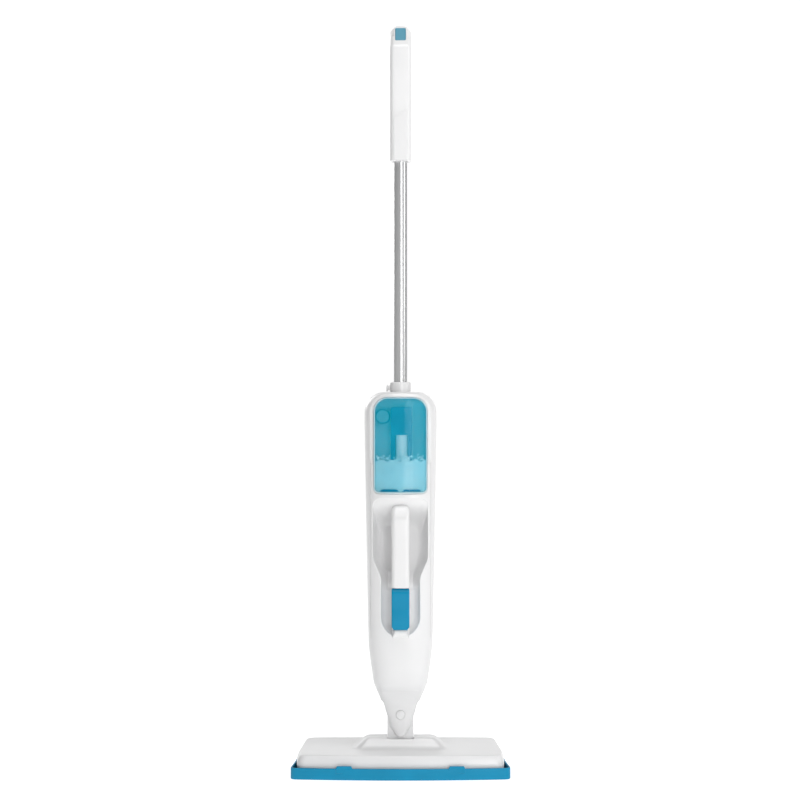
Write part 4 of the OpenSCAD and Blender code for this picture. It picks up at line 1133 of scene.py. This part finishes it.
for side, name, node in ((-1, "handle_left", "handle_left_shell"), (1, "handle_right", "handle_right_shell")):
    half = piece(name, Part().tube(handle_rings(handle_out, 1, side)), white, "pole", [node])
    rim = handle_rings(handle_hole, -1, side)
    grip = [rim[0] - [side, 0, 0]] + rim + [rim[-1] + [side, 0, 0]]
    foot_cut = block((-30, -60, H_LOW - 30), (30, 60, H_LOW))
    tube_bore = rod(12.6, H_LOW - 5, H_LOW + 9)
    combine(half, Part().tube(grip), foot_cut, tube_bore, slope_slab(*POCKET, -9, 8, 2.6, 0.01))
    if side < 0:
        screws = [rod(3.0, -30, -13.4, (0, y, z), "x") for y, z in ((-21, 1120), (36.5, 1110), (0, 1051))]
        combine(half, *screws)
    level(half)

STRIP = 10.5


def arched(edge, height):
    """Section of the strip from side to side. edge holds steps in from a side and their heights."""
    return [(x - STRIP, h) for x, h in edge] + [(0, height)] + [(STRIP - x, h) for x, h in edge[::-1]]


ordered = handle_out[(handle_out[:, 0] < 2.8) & (handle_out[:, 1] > H_LOW + 0.5)]
ordered = ordered[np.argsort(ordered[:, 1])]
line = resample(np.concatenate([[(-19, H_LOW + 0.6)], ordered[1:]]), 180)
tangent = np.gradient(line, axis=0)
tangent /= np.linalg.norm(tangent, axis=1)[:, None]
normal = np.stack([-tangent[:, 1], tangent[:, 0]], 1)
profile = arched([(0, -1.4), (0, 0.0), (0.15, 0.25), (0.6, 0.4), (3, 0.45)], 0.5)
strip = Part()
strip.tube([[(x, *(p + n * h)) for x, h in profile] for p, n in zip(line, normal)])
strip_obj = piece("handle_strip", strip, white, "pole", ["handle_front_strip"])
combine(strip_obj, slope_slab(*POCKET, -9, 8, 2.6, 0.01))
level(strip_obj)
SLEEVE_LEFT, SLEEVE_RIGHT = 1030, 1046  # heights where the sleeve's slanting end meets the sides
run = np.arange(len(line))
sleeve_profile = arched([(-0.1, -1.2), (-0.1, 0.5), (0.4, 0.95)], 1.05)
rings = []
for v in np.linspace(0, 1, 90):
    ring = []
    for x, h in sleeve_profile:
        end = np.interp(SLEEVE_LEFT + (SLEEVE_RIGHT - SLEEVE_LEFT) * (x / STRIP + 1) / 2, line[:, 1], run)
        at = [np.interp(v * end, run, q) for q in (line[:, 0], line[:, 1], normal[:, 0], normal[:, 1])]
        ring.append((x, at[0] + at[2] * h, at[1] + at[3] * h))
    rings.append(ring)
level(piece("handle_sleeve", Part().tube(rings), white, "pole", ["handle_front_strip"]))
level(piece("handle_button_cap", slope_slab(8.4, 33.2, -5, 1.2, 2.4, 0.9), satin_blue, "handle_button",
            ["handle_button"]))


# ---------- Thumb button, hooks and springs ----------

THUMB_LOW, THUMB_HIGH = 227.6, 292.2
THUMB_LONG = THUMB_HIGH - THUMB_LOW
THUMB_FRONT = -62.5
thumb = Part()
plan_xz = [(3.6 - BAR, 0), (BAR - 3.6, 0), (BAR, 4.4), (BAR, THUMB_LONG), (-BAR, THUMB_LONG), (-BAR, 4.4)]
plan_xz = rounded([(x, THUMB_LOW + z) for x, z in plan_xz], [1.2, 1.2, 1.4, 2.6, 2.6, 1.4], 1.2)


def thumb_face(z):
    """Depth of the button's face: a bevel at the top, a long slope at the foot."""
    high, low = THUMB_HIGH - 7.5, THUMB_LOW + 16
    dish = np.sin(np.pi * np.clip((z - low) / (high - low), 0, 1)) ** 2
    bevel, slope = np.clip((z - high) / 7.5, 0, 1) ** 1.3, np.clip((low - z) / 16, 0, 1) ** 1.2
    return THUMB_FRONT + 4.4 * bevel + 3.4 * slope + 1.3 * dish


THUMB_COUNTS = [16, 60, 16, 60]
plan_xz, _ = four_sides(plan_xz, (BAR - 2, THUMB_LOW + 2), (BAR - 0.8, THUMB_HIGH - 0.8), THUMB_COUNTS)
rings = [on("y", plan_xz, -48.9)]
for s, c in quarter(6):
    p = offset(plan_xz, 2.2 * c)
    rings.append(on("y", p, thumb_face(p[:, 1]) + 1.8 * s))
face = patch(rings[-1][:, [0, 2]], *THUMB_COUNTS[:2])
thumb.grid(rings, closed=True).face(rings[0]).grid([on("y", row, thumb_face(row[:, 1])) for row in face])
thumb_obj = piece("thumb_button_cap", thumb, blue, "thumb_button", ["thumb_button"])
combine(thumb_obj, block((-11.5, -59.0, THUMB_LOW + 5), (11.5, -40, THUMB_HIGH - 12)))
level(thumb_obj)


HOOK_Y = 40.9
hook_line = [(0, 233), (5, 233), (5, 248), (18, 246), (22, 240), (23, 222), (27, 222), (27, 242), (22, 254),
             (8, 261), (0, 261)]
hook_line = rounded([(HOOK_Y + y, z) for y, z in hook_line], [0.5, 1, 4, 6, 6, 1.9, 1.9, 10, 10, 12, 1], 1.5)
level(piece("lower_hook", slab(hook_line, -9, 9, "x", 1.5), white, "body", ["lower_cord_hook"]))
HOOK_Z = 990
boss = lathe([(2.45, 19.5), (7.4, 19.5), (8, 20.1), (8, 23.9), (7.4, 24.5), (5, 24.5), (5, 22.6),
              (2.45, 22.6)], (0, 0, HOOK_Z), "y", 64)
arm = [(19.5, 6), (24.5, 6), (25, 12), (38, 14), (44, 20), (45, 34), (41, 34), (39, 22), (35, 18), (19.5, 18)]
arm = rounded([(y, HOOK_Z + z) for y, z in arm], [0.5, 0.5, 3, 7, 9, 1.9, 1.9, 4, 4, 3], 1.5)
hook = piece("upper_hook", slab(arm, -7, 7, "x", 1.4), white, "cord_hook", ["upper_cord_hook"])
combine(hook, rod(8.02, 18, 30, (0, 0, HOOK_Z), "y"))
level(hook)
level(piece("upper_hook_boss", boss, white, "cord_hook", ["upper_cord_hook"]))

thumb_coil = piece("thumb_spring_coil", coil(3.6, 0.4, -59.0, -46.2, 7, (0, 0, 273), "y"), spring_wire,
                   "body", ["thumb_spring"])
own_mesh(thumb_coil)
release_coil = piece("release_spring_coil", coil(2.1, 0.28, -14.8, -11.8, 4, (0, 0, 605), "x"), spring_wire,
                     "body", ["release_spring"])
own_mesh(release_coil)
handle_wire = coil(2.25, 0.3, -8.3, -5.2, 4)
shaped = Part()
shaped.points = [on_slope((p[0], p[1] + 9, p[2])) for p in handle_wire.points]
shaped.faces = handle_wire.faces
handle_coil = piece("handle_spring_coil", shaped, spring_wire, "pole", ["handle_spring"])
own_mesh(handle_coil)
